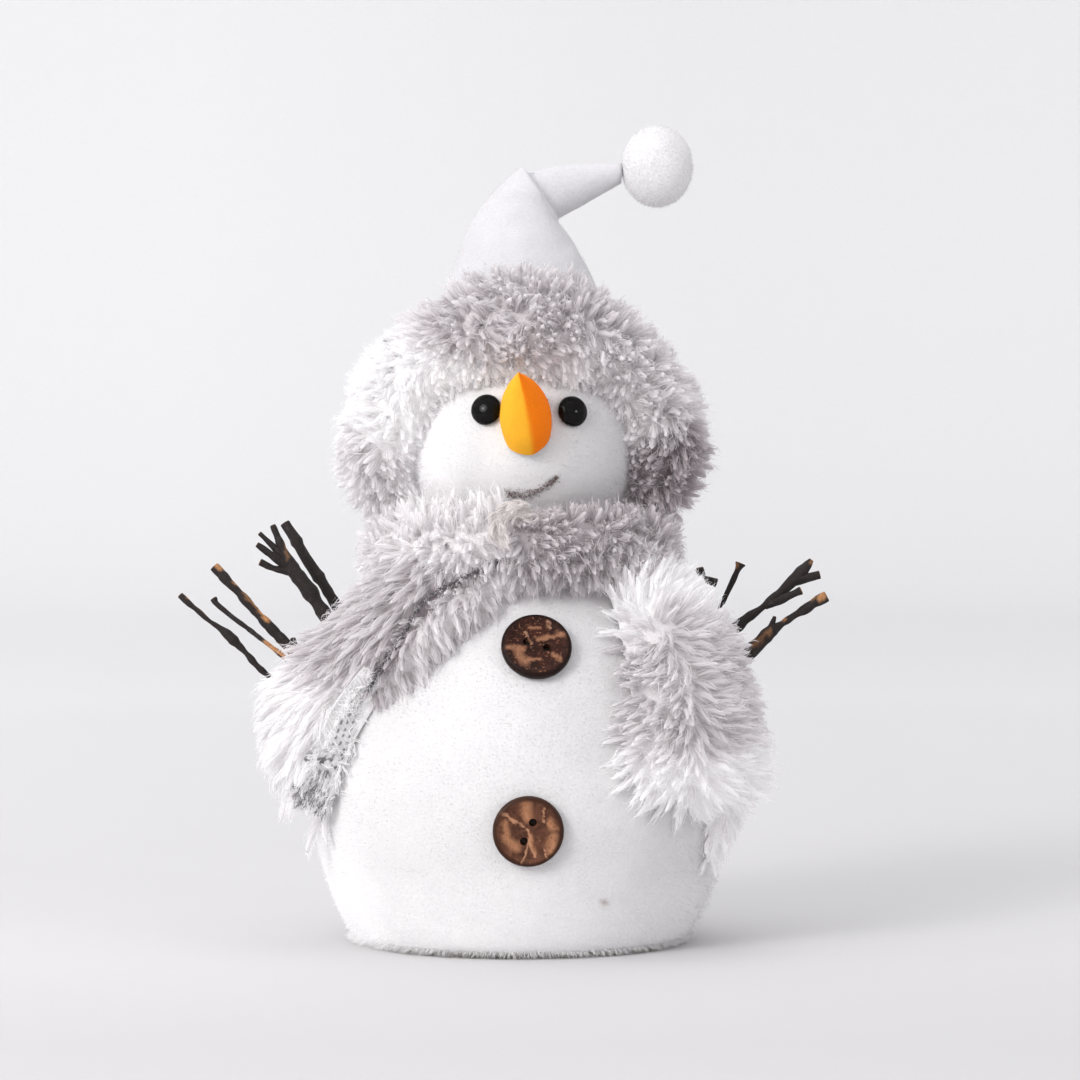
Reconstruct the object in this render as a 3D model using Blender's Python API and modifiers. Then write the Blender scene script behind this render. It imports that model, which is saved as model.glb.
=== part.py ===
"""A snowman figurine for a shelf: a flocked foam body and head, a felt hat with a fur trim and a
pompom, a fur scarf, two coconut-shell buttons, bead eyes, a felt nose and twig arms.

Metres, +Z up. The origin is the middle of the flat base, and the face looks along -Y.
"""

import math
import random

import bmesh
import bpy
from mathutils import Matrix, Vector, noise

GAP = 0.0003  # between pieces that touch

# Body: an ellipsoid of foam, cut flat below and at the neck.
BODY_RADIUS = 0.0624
BODY_HALF_HEIGHT = 0.075
BODY_WAIST_Z = 0.046
NECK_Z = 0.118
BASE_RADIUS = 0.0465
BODY_SIDES, BODY_RINGS = 36, 11

# Head: a foam ball, cut flat where it meets the body.
HEAD_RADIUS = 0.035
HEAD_CENTRE = Vector((0.0006, 0.0, 0.150))
HEAD_SIDES, HEAD_RINGS = 28, 10

# Face.
EYE_RADIUS = 0.0046
EYE_HEIGHT = 0.0037
EYE_DIRECTIONS = {"eye_left": (-17.0, 14.1), "eye_right": (25.0, 13.3)}  # azimuth, elevation
NOSE_LENGTH = 0.0296
NOSE_RADIUS = 0.0076
NOSE_DIRECTION = (3.0, 3.5)  # where its root sits on the head: azimuth, elevation
NOSE_PITCH = 36.0  # degrees that it points up
NOSE_YAW = -9.0  # degrees that it points to -X
NOSE_WIDEST = 0.2  # the share of its length that its widest place is at
NOSE_POINT = 0.3  # how much finer it gets near its tip
NOSE_DROOP = 0.14  # how much longer its radius is below than at the sides
NOSE_CREASE = 0.08  # how far the fold stands out, as a share of the radius
NOSE_CREASE_TURN = -0.25  # from straight below, in radians towards -X

# Buttons: coconut shell, with two holes.
BUTTON_RADIUS = 0.0102
BUTTON_THICKNESS = 0.0028
BUTTON_HOLE_RADIUS = 0.00125
BUTTON_HOLE_SPACING = 0.0060
BUTTONS = {"button_upper": (5.5, 0.0897, -18.0), "button_lower": (2.4, 0.0385, 65.0)}  # azimuth, z, turn

# Hat: a felt cone, folded over near its top. Each section above the head is given by its left and
# right edge points (x, z), its half depth and its place in y.
FELT = 0.0013
HAT_CAP_SECTIONS = [  # tilt in degrees, distance from the head's centre, radius
    (35.0, 0.0095, 0.0354),
    (26.0, 0.0180, 0.0342),
    (17.0, 0.0260, 0.0317),
    (10.0, 0.0330, 0.0285),
]
HAT_CONE_SECTIONS = [
    ((-0.0219, 0.1965), (0.0232, 0.1950), 0.0210, 0.0010),
    ((-0.0178, 0.2070), (0.0190, 0.2045), 0.0170, 0.0010),
    ((-0.0134, 0.2170), (0.0140, 0.2116), 0.0128, 0.0010),
    ((-0.0068, 0.2256), (0.0124, 0.2140), 0.0100, 0.0012),
    ((0.0000, 0.2316), (0.0116, 0.2155), 0.0080, 0.0016),
]
HAT_TAIL_SECTIONS = [
    ((0.0036, 0.2305), (0.0124, 0.2169), 0.0062, 0.0046),
    ((0.0108, 0.2323), (0.0166, 0.2194), 0.0055, 0.0054),
    ((0.0198, 0.2329), (0.0226, 0.2228), 0.0047, 0.0060),
    ((0.0305, 0.2333), (0.0305, 0.2272), 0.0030, 0.0065),
]
HAT_SIDES = 20
HOLLOW_CONE_SECTIONS = 2  # the hollow ends this far up the cone

POMPOM_CENTRE = Vector((0.0412, 0.0065, 0.2323))
POMPOM_RADII = Vector((0.0112, 0.0112, 0.0128))
POMPOM_LUMPS = 2.0

# Fur: the trim round the face and the scarf. Their points stand in turn on a low and a high surface,
# which makes the locks; the high one is where the tips of the pile reach.
LOCK_HEIGHT = 0.0046
LOCK_SEED = 7
TRIM_STEPS, TRIM_SECTION = 52, 10
TRIM_HALF_ANGLE = 27.0  # degrees that the trim covers on each side of its middle, from the head's centre
TRIM_INNER = 0.0330
TRIM_OUTER_TOP, TRIM_OUTER_SIDE, TRIM_OUTER_BACK = 0.0575, 0.0575, 0.0490
TRIM_SHOULDER_DIP = 0.0040  # between its top and its sides
TRIM_FRONT = Vector((0.0, -0.545, 0.839))  # the middle of the trim over the forehead
TRIM_BACK = Vector((0.0, 0.780, -0.625))  # and at the nape
TRIM_SIDE_DROP = 0.16
# Where the trim's edge stands back from the face: the turn it is at, how wide and how far, in degrees.
TRIM_WINDOW = [(42.0, 22.0, 9.0), (132.0, 20.0, 4.5), (90.0, 60.0, 3.0)]

COLLAR_STEPS, COLLAR_SECTION = 40, 8
COLLAR_RADIUS_SIDE, COLLAR_RADIUS_FRONT = 0.0375, 0.0410
COLLAR_Z, COLLAR_BACK_DROP = 0.1190, 0.0055
COLLAR_HALF_WIDTH, COLLAR_HALF_HEIGHT = 0.0120, 0.0135
# The scarf's ends lie on the body. Each row: azimuth, z, half width, thickness, cross angle, lean.
LEFT_END = [
    (-34.0, 0.1150, 0.0130, 0.0150, -50.0, 0.0),
    (-41.0, 0.1060, 0.0155, 0.0165, -44.0, 0.0),
    (-48.0, 0.0960, 0.0165, 0.0180, -40.0, 0.1),
    (-55.0, 0.0845, 0.0180, 0.0190, -40.0, 0.2),
    (-62.0, 0.0715, 0.0200, 0.0200, -46.0, 0.3),
    (-68.0, 0.0600, 0.0215, 0.0195, -54.0, 0.4),
    (-72.0, 0.0515, 0.0215, 0.0150, -60.0, 0.4),
]
LEFT_ROLL = [
    (-4.0, 0.1090, 0.0060, 0.0080, -50.0, 0.0),
    (-14.0, 0.1000, 0.0068, 0.0110, -48.0, 0.0),
    (-25.0, 0.0900, 0.0070, 0.0115, -45.0, 0.0),
    (-36.0, 0.0800, 0.0064, 0.0100, -45.0, 0.0),
    (-45.0, 0.0720, 0.0050, 0.0070, -50.0, 0.0),
    (-52.0, 0.0600, 0.0042, 0.0050, -60.0, 0.0),
]
RIGHT_END = [
    (50.0, 0.1150, 0.0150, 0.0130, 0.0, 0.0),
    (56.0, 0.1040, 0.0240, 0.0150, 0.0, 0.0),
    (58.0, 0.0900, 0.0300, 0.0165, 0.0, -0.1),
    (58.0, 0.0750, 0.0330, 0.0165, 0.0, -0.1),
    (56.0, 0.0600, 0.0360, 0.0155, 0.0, -0.1),
    (56.0, 0.0480, 0.0355, 0.0145, -1.0, -0.1),
    (57.0, 0.0420, 0.0320, 0.0100, -2.0, 0.0),
]
RIGHT_CORNER = [
    (68.0, 0.0560, 0.0100, 0.0140, 0.0, 0.0),
    (67.0, 0.0420, 0.0085, 0.0115, 0.0, 0.0),
    (65.0, 0.0300, 0.0070, 0.0090, 0.0, 0.0),
    (62.0, 0.0205, 0.0040, 0.0050, 0.0, 0.0),
]
END_STEP = 0.0066  # between the sections of the scarf's ends
END_CLEARANCE = 0.0009

# Twigs: name, then branches; a branch is a list of (x, y, z, radius) in millimetres, from the body
# outwards. The first branch's first two points are the stretch that is glued into the body.
TWIGS = {
    "twig_left_1": [
        [(-48, 23, 86, 1.6), (-60, 27.6, 105, 1.7), (-72.3, 32, 124.4, 1.6)],
    ],
    "twig_left_2": [
        [(-51.6, 13.4, 84.2, 1.7), (-60.4, 15, 98.5, 2.3), (-69.7, 16.6, 111.6, 2.4),
         (-72.3, 17, 116.5, 1.6), (-75.3, 17.6, 124, 0.9)],
        [(-69.3, 16.5, 111, 1.6), (-74.7, 16.5, 117.3, 1), (-79.3, 16.5, 121.6, 0.7)],
        [(-69.3, 16.5, 110.8, 1.6), (-75.3, 15, 115, 1.1), (-79.6, 14, 118.2, 0.9)],
        [(-69.1, 16.4, 110, 1.6), (-73.3, 15.6, 110.7, 1.3), (-76.1, 15, 111.6, 1),
         (-78.9, 14.6, 113, 1)],
    ],
    "twig_left_3": [
        [(-57, 12.2, 75.6, 1.6), (-68.8, 14.4, 86, 1.7), (-80.7, 16.6, 98, 1.4),
         (-93.1, 19, 111.4, 1.5)],
        [(-67.4, 14, 84.6, 1.2), (-69.2, 14.4, 89.8, 0.9)],
    ],
    "twig_left_4": [
        [(-58.6, 8.4, 73.2, 0.9), (-69.6, 9.6, 82.6, 0.8), (-81.2, 11, 92, 0.7),
         (-91, 12, 99.2, 0.8), (-93, 12.4, 101.7, 1.2)],
    ],
    "twig_left_5": [
        [(-59.4, 14.8, 63.9, 0.9), (-74.2, 16.6, 76.2, 0.8), (-79.8, 17.2, 81, 1.1),
         (-83.2, 17.6, 84.8, 0.9), (-88, 18, 89.7, 1.8), (-92, 18.6, 93, 0.9),
         (-98.4, 19.4, 98.1, 0.8), (-103.6, 20, 102.5, 1)],
    ],
    "twig_right_1": [
        [(45.6, 28.8, 82, 0.9), (51.4, 28.4, 97, 0.9), (56, 28, 106.2, 1.1), (56.8, 28, 109.8, 1)],
        [(55.2, 28, 105.4, 0.9), (60, 28, 105.2, 0.9)],
    ],
    "twig_right_2": [
        [(50.6, 19.8, 83, 0.9), (59, 19.4, 95.6, 0.8), (65.6, 19, 109.2, 1), (67, 19, 112.1, 1.5)],
    ],
    "twig_right_3": [
        [(53.2, 9.4, 82, 1.9), (64, 10.4, 92.2, 1.9), (73.5, 11.2, 99.4, 1.1), (80.2, 12, 105, 1.7),
         (84.6, 12.4, 109.2, 1.9), (88.3, 13, 113.6, 0.9)],
        [(83.2, 12.2, 107.6, 1.6), (90.6, 12, 109.2, 1.2)],
        [(74.2, 11.2, 99.6, 1), (80.2, 9, 102.2, 1.4), (84.5, 8.4, 104.4, 1.3)],
    ],
    "twig_right_4": [
        [(57.4, 6.8, 75, 2.1), (69, 7.6, 85.6, 2.2), (75.4, 8.2, 91.8, 2.1), (78.6, 8.4, 94.1, 1.3),
         (86, 9, 99, 1.4), (92.6, 9.4, 102.8, 1.6)],
        [(75.2, 8.2, 91.5, 1.6), (77, 8.2, 96.5, 0.5)],
    ],
}
TWIG_DEPTH = 0.010  # how far a twig goes into the foam
SOCKET_CLEARANCE = 0.0004
SOCKET_SIDES = 8

MATERIALS = {  # colour, roughness
    "flocking": ((0.93, 0.93, 0.94), 0.95),
    "white_felt": ((0.90, 0.90, 0.92), 0.95),
    "grey_fur": ((0.66, 0.65, 0.67), 0.95),
    "orange_felt": ((1.0, 0.36, 0.02), 0.9),
    "black_bead": ((0.01, 0.01, 0.01), 0.08),
    "coconut_shell": ((0.16, 0.07, 0.035), 0.35),
    "bark": ((0.035, 0.025, 0.022), 0.8),
}


def new_collection(name):
    made = bpy.data.collections.new(name)
    bpy.context.scene.collection.children.link(made)
    return made


def new_material(name):
    colour, roughness = MATERIALS[name]
    made = bpy.data.materials.new(name)
    made.use_nodes = True
    shader = made.node_tree.nodes["Principled BSDF"]
    shader.inputs["Base Color"].default_value = (*colour, 1.0)
    shader.inputs["Roughness"].default_value = roughness
    shader.inputs["Metallic"].default_value = 0.0
    return made


def add_object(name, data, material=None):
    """A part in the object's collection, or a cutter if it has no material."""
    made = bpy.data.objects.new(name, data)
    if material:
        parts.objects.link(made)
        data.materials.append(materials[material])
    else:
        cutters.objects.link(made)
        made.hide_render = True
        made.display_type = "WIRE"
    return made


def boolean(obj, other, operation):
    modifier = obj.modifiers.new(f"{operation.title()} {other.name}", "BOOLEAN")
    modifier.operation = operation
    modifier.object = other


def evaluated_mesh(obj):
    bpy.context.view_layer.update()
    return bpy.data.meshes.new_from_object(obj.evaluated_get(bpy.context.evaluated_depsgraph_get()))


def mesh_from(name, build):
    """A mesh that build(bm) fills in, with its faces pointing out."""
    mesh = bpy.data.meshes.new(name)
    bm = bmesh.new()
    build(bm)
    bmesh.ops.recalc_face_normals(bm, faces=bm.faces)
    bm.to_mesh(mesh)
    bm.free()
    mesh.shade_smooth()
    return mesh


def loft(name, rings, closed=False, locks=False):
    """A skin over rings of equally many points. With locks, each face is folded between the hollows."""

    def build(bm):
        rows = [[bm.verts.new(point) for point in ring] for ring in rings]
        for i in range(len(rows) if closed else len(rows) - 1):
            low, high = rows[i], rows[(i + 1) % len(rows)]
            for k in range(len(low)):
                j = (k + 1) % len(low)
                corners = [low[k], low[j], high[j], high[k]]
                if locks:
                    a, b, c, d = corners[(i + k + 1) % 2:] + corners[: (i + k + 1) % 2]
                    bm.faces.new((a, b, c))
                    bm.faces.new((a, c, d))
                else:
                    bm.faces.new(corners)
        if not closed:
            bm.faces.new(rows[0])
            bm.faces.new(rows[-1])

    return mesh_from(name, build)


def turned(name, profile, sides, material=None):
    """The profile, (radius, z) from the top down its outer side, turned round Z."""
    mesh = bpy.data.meshes.new(name)
    edges = [(i, i + 1) for i in range(len(profile) - 1)]
    mesh.from_pydata([(radius, 0.0, z) for radius, z in profile], edges, [])
    made = add_object(name, mesh, material)
    screw = made.modifiers.new("Turn", "SCREW")
    screw.steps = screw.render_steps = sides
    screw.use_merge_vertices = True
    screw.merge_threshold = 0.00001
    screw.use_smooth_shade = True
    return made


def direction(azimuth, elevation):
    """The unit vector at an azimuth from -Y towards +X and an elevation, in degrees."""
    a, e = math.radians(azimuth), math.radians(elevation)
    return Vector((math.sin(a) * math.cos(e), -math.cos(a) * math.cos(e), math.sin(e)))


def facing(place, normal, turn=0.0):
    """The matrix that puts a turned piece's +Z along normal, with its origin at place."""
    rotation = normal.to_track_quat("Z", "Y").to_matrix().to_4x4()
    return Matrix.Translation(place) @ rotation @ Matrix.Rotation(math.radians(turn), 4, "Z")


def with_locks(low, high, first, last, closed, lean):
    """The low rings, with every second point from first to last raised to a lock's tip on the high
    ones, and each tip leaning part of the way to the next ring."""
    rings = []
    for i, (base, top) in enumerate(zip(low, high, strict=True)):
        ahead = high[(i + 1) % len(high)] if closed or i + 1 < len(high) else top
        ring = list(base)
        for k in range(first, last):
            if (i + k) % 2 == 0:
                tip = top[k].lerp(ahead[k], lean * dice.uniform(0.2, 1.2))
                ring[k] = base[k].lerp(tip, dice.uniform(0.55, 1.0))
        rings.append(ring)
    return rings


def body_radius(z, grow=0.0):
    share = (z - BODY_WAIST_Z) / (BODY_HALF_HEIGHT + grow)
    return (BODY_RADIUS + grow) * math.sqrt(max(0.0, 1.0 - share * share))


def body_point(azimuth, z):
    return direction(azimuth, 0.0) * body_radius(z) + Vector((0.0, 0.0, z))


def body_normal(azimuth, z):
    flat = direction(azimuth, 0.0) * (body_radius(z) / BODY_RADIUS**2)
    return (flat + Vector((0.0, 0.0, (z - BODY_WAIST_Z) / BODY_HALF_HEIGHT**2))).normalized()


def body_profile(grow=0.0):
    """From the neck down to the middle of the base, with the edge of the base rounded."""
    edge_z = 0.0030
    top = NECK_Z + grow
    heights = [top + (edge_z - top) * i / (BODY_RINGS - 1) for i in range(BODY_RINGS)]
    side = [(body_radius(z, grow), z) for z in heights]
    rim = body_radius(edge_z, grow)
    rounding = [(rim - 0.0007, 0.0016), (rim - 0.0018, 0.0006)]
    return [(0.0, top), *side, *rounding, (BASE_RADIUS + grow, -grow), (0.0, -grow)]


def make_body():
    body = turned("body", body_profile(), BODY_SIDES, "flocking")
    for name, branches in TWIGS.items():
        boolean(body, twig_socket(name, branches[0]), "DIFFERENCE")


def ball_profile(radius, z, cut_z, rings):
    """A ball centred at z, cut flat at cut_z: from its top down."""
    lowest = math.asin((cut_z - z) / radius)
    angles = [math.pi / 2 + (lowest - math.pi / 2) * i / rings for i in range(rings + 1)]
    return [(radius * math.cos(a), z + radius * math.sin(a)) for a in angles] + [(0.0, cut_z)]


def make_head():
    cut = NECK_Z + GAP - HEAD_CENTRE.z
    head = turned("head", ball_profile(HEAD_RADIUS, 0.0, cut, HEAD_RINGS), HEAD_SIDES, "flocking")
    head.location = HEAD_CENTRE


def make_eyes():
    """Bead domes, flat behind."""
    steps = 4
    angles = [math.pi / 2 * i / steps for i in range(steps + 1)]
    dome = [(EYE_RADIUS * math.sin(a), EYE_HEIGHT * (0.25 + 0.75 * math.cos(a))) for a in angles]
    profile = [*dome, (EYE_RADIUS * 0.93, 0.0), (0.0, 0.0)]
    for name, (azimuth, elevation) in EYE_DIRECTIONS.items():
        eye = turned(name, profile, 14, "black_bead")
        normal = direction(azimuth, elevation)
        eye.matrix_world = facing(HEAD_CENTRE + normal * (HEAD_RADIUS + GAP), normal)


def make_nose():
    """A folded felt cone with a crease below, standing on the head."""
    sides, steps = 16, 8
    root = HEAD_CENTRE + direction(*NOSE_DIRECTION) * (HEAD_RADIUS - 0.002)
    along = direction(NOSE_DIRECTION[0] + NOSE_YAW, NOSE_PITCH)
    across = along.cross(Vector((0.0, 0.0, 1.0))).normalized()
    up = across.cross(along)
    rings = []
    for i in range(steps):
        share = i / (steps - 1) * 0.985
        centre = root + along * (NOSE_LENGTH * share) + up * (0.0016 * math.sin(math.pi * share))
        off = abs((share - NOSE_WIDEST) / (1.0 - NOSE_WIDEST))
        radius = NOSE_RADIUS * (1.0 - off ** 1.7) * (1.0 - NOSE_POINT * off ** 4)
        ring = []
        for k in range(sides):
            angle = 2 * math.pi * k / sides
            from_fold = abs(math.remainder(angle + math.pi / 2 - NOSE_CREASE_TURN, 2 * math.pi))
            droop = 1.0 + NOSE_DROOP * max(0.0, -math.sin(angle)) ** 2
            reach = radius * droop * (1.0 + NOSE_CREASE * math.exp(-from_fold / 0.42))
            ring.append(centre + (across * math.cos(angle) + up * math.sin(angle)) * reach)
        rings.append(ring)
    nose = add_object("nose", loft("nose", rings), "orange_felt")
    boolean(nose, head_cutter(), "DIFFERENCE")


def body_cutter():
    """The body, grown by the gap."""
    if "body_cutter" in bpy.data.objects:
        return bpy.data.objects["body_cutter"]
    return turned("body_cutter", body_profile(GAP), BODY_SIDES)


def head_cutter():
    """The head, grown by the gap."""
    if "head_cutter" in bpy.data.objects:
        return bpy.data.objects["head_cutter"]
    profile = ball_profile(HEAD_RADIUS + GAP, 0.0, -HEAD_RADIUS, HEAD_RINGS + 2)
    cutter = turned("head_cutter", profile, HEAD_SIDES)
    cutter.location = HEAD_CENTRE
    return cutter


def make_buttons():
    """Discs with rounded edges and a shallow dish, and two holes."""
    r, t = BUTTON_RADIUS, BUTTON_THICKNESS
    profile = [(0.0, 0.88 * t), (0.70 * r, 0.88 * t), (0.82 * r, t), (0.93 * r, t), (r, 0.72 * t),
               (r, 0.25 * t), (0.93 * r, 0.0), (0.0, 0.0)]
    for name, (azimuth, z, turn) in BUTTONS.items():
        button = turned(name, profile, 24, "coconut_shell")
        normal = body_normal(azimuth, z)
        button.matrix_world = facing(body_point(azimuth, z) + normal * GAP, normal, turn)
        for side in (-1, 1):
            centre = Vector((side * BUTTON_HOLE_SPACING / 2, 0.0, t / 2))
            hole = cylinder(f"{name}_hole_{side}", BUTTON_HOLE_RADIUS, 3 * t, 8)
            hole.matrix_world = button.matrix_world @ Matrix.Translation(centre)
            boolean(button, hole, "DIFFERENCE")


def cylinder(name, radius, length, sides):
    """A cutter along Z, centred on its origin."""
    return add_object(name, mesh_from(name, lambda bm: bmesh.ops.create_cone(
        bm, cap_ends=True, segments=sides, radius1=radius, radius2=radius, depth=length)))


def ellipse(centre, first, second, sides):
    angles = [2 * math.pi * i / sides for i in range(sides)]
    return [centre + first * math.cos(a) + second * math.sin(a) for a in angles]


def hat_sections(grow=0.0):
    """(centre, first half axis, second half axis) from the rim up, each grown by a distance."""
    found = []
    for tilt, distance, radius in HAT_CAP_SECTIONS:
        angle = math.radians(tilt)
        normal = Vector((0.0, math.sin(angle), math.cos(angle)))
        found.append((HEAD_CENTRE + normal * distance, Vector((radius + grow, 0.0, 0.0)),
                      Vector((0.0, math.cos(angle), -math.sin(angle))) * (radius + grow)))
    for left, right, depth, y in HAT_CONE_SECTIONS + HAT_TAIL_SECTIONS:
        low, high = Vector((left[0], y, left[1])), Vector((right[0], y, right[1]))
        half = (high - low) / 2
        half *= 1.0 + grow / half.length
        found.append(((low + high) / 2, half, Vector((0.0, depth + grow, 0.0))))
    return found


def make_hat():
    """A felt shell over the head, solid from where the cone folds over."""
    outer = [ellipse(*section, HAT_SIDES) for section in hat_sections()]
    hollow = len(HAT_CAP_SECTIONS) + HOLLOW_CONE_SECTIONS
    inner = [ellipse(*section, HAT_SIDES) for section in hat_sections(-FELT)[:hollow]]
    hat = add_object("hat", loft("hat", inner[::-1] + outer), "white_felt")
    boolean(hat, pompom_mesh("pompom_cutter", GAP), "DIFFERENCE")


def hat_cutter():
    """The hat without its hollow, grown by the gap."""
    rings = [ellipse(*section, HAT_SIDES) for section in hat_sections(GAP)]
    return add_object("hat_cutter", loft("hat_cutter", rings[: len(rings) - len(HAT_TAIL_SECTIONS)]))


def pompom_mesh(name, grow, material=None):
    """A slightly uneven ball, taller than it is wide."""

    def build(bm):
        bmesh.ops.create_uvsphere(bm, u_segments=16, v_segments=10, radius=1.0)
        for vert in bm.verts:
            stretched = Vector(a * (b + grow) for a, b in zip(vert.co, POMPOM_RADII, strict=True))
            vert.co = stretched * (1.0 + 0.02 * noise.noise(vert.co * POMPOM_LUMPS))

    made = add_object(name, mesh_from(name, build), material)
    made.location = POMPOM_CENTRE
    return made


def trim_direction(share):
    """The middle of the fur trim, seen from the head's centre, at a share of the way round."""
    angle = 2 * math.pi * share
    found = (TRIM_FRONT + TRIM_BACK) / 2 + (TRIM_FRONT - TRIM_BACK) / 2 * math.sin(angle)
    found += Vector((math.cos(angle), 0.0, -TRIM_SIDE_DROP * math.cos(angle) ** 2))
    return found.normalized()


def trim_rings(grow):
    """Sections of the trim: a belt of fur on the head, thick in its middle."""
    rings = []
    half = math.radians(TRIM_HALF_ANGLE)
    for i in range(TRIM_STEPS):
        middle = trim_direction(i / TRIM_STEPS)
        along = trim_direction((i + 1) / TRIM_STEPS) - trim_direction((i - 1) / TRIM_STEPS)
        across = middle.cross(along).normalized()
        turn = 2 * math.pi * i / TRIM_STEPS
        end = TRIM_OUTER_TOP if i < TRIM_STEPS / 2 else TRIM_OUTER_BACK
        outer = end + (TRIM_OUTER_SIDE - end) * math.cos(turn) ** 2 + grow
        outer -= TRIM_SHOULDER_DIP * math.sin(2 * turn) ** 2
        degrees = math.degrees(turn)
        back = sum(far * math.exp(-(((degrees - at) / wide) ** 2)) for at, wide, far in TRIM_WINDOW)
        ring = []
        for k in range(TRIM_SECTION + 1):
            angle = math.pi * k / TRIM_SECTION
            reach = half - math.radians(back) * (angle < math.pi / 2) + max(grow, -0.001) / TRIM_INNER
            spread = reach * math.cos(angle)
            height = TRIM_INNER + (outer - TRIM_INNER) * math.sin(angle) ** 0.62
            ring.append(HEAD_CENTRE + (middle * math.cos(spread) + across * math.sin(spread)) * height)
        rings.append(ring)
    return rings


def make_trim():
    rings = with_locks(trim_rings(-LOCK_HEIGHT), trim_rings(0.0), 1, TRIM_SECTION, True, 0.4)
    trim = add_object("hat_fur_trim", loft("hat_fur_trim", rings, closed=True, locks=True), "grey_fur")
    for cutter in (hat_cutter(), head_cutter(), body_cutter()):
        boolean(trim, cutter, "DIFFERENCE")


def collar_rings(grow):
    """The part of the scarf that goes round the neck."""
    rings = []
    for i in range(COLLAR_STEPS):
        azimuth = 360.0 * i / COLLAR_STEPS
        out = direction(azimuth, 0.0)
        backness = (1.0 - math.cos(math.radians(azimuth))) / 2
        height = COLLAR_Z - COLLAR_BACK_DROP * backness
        centre = Vector((out.x * COLLAR_RADIUS_SIDE, out.y * COLLAR_RADIUS_FRONT, height))
        ring = []
        for k in range(COLLAR_SECTION):
            angle = 2 * math.pi * k / COLLAR_SECTION
            offset = out * ((COLLAR_HALF_WIDTH + grow) * math.cos(angle))
            offset.z = (COLLAR_HALF_HEIGHT + grow) * math.sin(angle)
            ring.append(centre + offset)
        rings.append(ring)
    return rings


def resampled(rows, step):
    """The rows of a scarf end again, about a step apart along it, read from a smooth curve."""
    found = [rows[0]]
    for i in range(len(rows) - 1):
        before, start, end, after = (rows[max(0, min(len(rows) - 1, i + k))] for k in (-1, 0, 1, 2))
        apart = (body_point(*end[:2]) - body_point(*start[:2])).length
        pieces = max(1, round(apart / step))
        for k in range(1, pieces + 1):
            t = k / pieces
            found.append(tuple(
                b + 0.5 * t * (c - a + t * (2 * a - 5 * b + 4 * c - d + t * (3 * (b - c) + d - a)))
                for a, b, c, d in zip(before, start, end, after, strict=True)))
    return found


def wrapped_section(grow, arch, floor, azimuth, z, half_width, thickness, cross_angle, lean):
    """A section of fur that lies on the body: flat inside, arched outside, higher to one side by lean."""
    cross = math.radians(cross_angle)
    slope = math.sqrt(1.0 - body_normal(azimuth, z).z ** 2)
    around = body_radius(z) + thickness / 3
    angles = [math.pi * k / arch for k in range(arch + 1)]
    shares = [(math.copysign(abs(math.cos(a)) ** 0.75, math.cos(a)),
               (thickness + grow) * math.sin(a) ** 0.75 * (1.0 - lean * math.cos(a))) for a in angles]
    shares += [(2 * k / (floor + 1) - 1, 0.0) for k in range(1, floor + 1)]
    ring = []
    for share, height in shares:
        reach = (half_width + grow) * share
        there = azimuth + math.degrees(reach * math.cos(cross) / around)
        there_z = z + reach * math.sin(cross) * slope
        ring.append(body_point(there, there_z) + body_normal(there, there_z) * (height + END_CLEARANCE))
    return ring


def scarf_end(name, rows, arch, floor):
    """One end of the scarf, with locks along its top. arch and floor are its sections' steps."""
    rows = resampled(rows, END_STEP)
    low = [wrapped_section(-LOCK_HEIGHT / 2, arch, floor, *row) for row in rows]
    high = [wrapped_section(0.0, arch, floor, *row) for row in rows]
    return add_object(name, loft(name, with_locks(low, high, 1, arch, False, 0.4), locks=True))


def make_scarf():
    """The collar and the scarf's two ends, as one solid that keeps clear of what it lies on."""
    rings = with_locks(collar_rings(-LOCK_HEIGHT), collar_rings(0.0), 0, COLLAR_SECTION, True, 0.4)
    scarf = add_object("scarf", loft("scarf", rings, closed=True, locks=True), "grey_fur")
    for name, rows, arch, floor in (("left_end", LEFT_END, 8, 3), ("left_roll", LEFT_ROLL, 5, 0),
                                    ("right_end", RIGHT_END, 9, 4), ("right_corner", RIGHT_CORNER, 5, 1)):
        boolean(scarf, scarf_end(name, rows, arch, floor), "UNION")
    trim_space = add_object("trim_space", loft("trim_space", trim_rings(GAP), closed=True))
    for cutter in (body_cutter(), head_cutter(), trim_space):
        boolean(scarf, cutter, "DIFFERENCE")


def curve_tube(name, points):
    """A closed tube along points of (x, y, z, radius) in millimetres, as a mesh."""
    curve = bpy.data.curves.new(name, "CURVE")
    curve.dimensions = "3D"
    curve.bevel_depth = 0.001
    curve.bevel_resolution = 1
    curve.use_fill_caps = True
    spline = curve.splines.new("POLY")
    spline.points.add(len(points) - 1)
    for point, (x, y, z, radius) in zip(spline.points, points, strict=True):
        point.co = (x / 1000, y / 1000, z / 1000, 1.0)
        point.radius = radius
    guide = add_object(name, curve)
    mesh = evaluated_mesh(guide)
    bpy.data.objects.remove(guide)
    bm = bmesh.new()
    bm.from_mesh(mesh)
    bmesh.ops.remove_doubles(bm, verts=bm.verts, dist=0.00001)
    bmesh.ops.recalc_face_normals(bm, faces=bm.faces)
    bm.to_mesh(mesh)
    bm.free()
    return mesh


def into_body(branch):
    """The branch again, with a first point that is TWIG_DEPTH inside the body."""
    start, then = (Vector(point[:3]) for point in branch[:2])
    inward = (start - then).normalized() * (TWIG_DEPTH * 1000)
    return [(*(start + inward), branch[0][3]), *branch]


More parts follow.
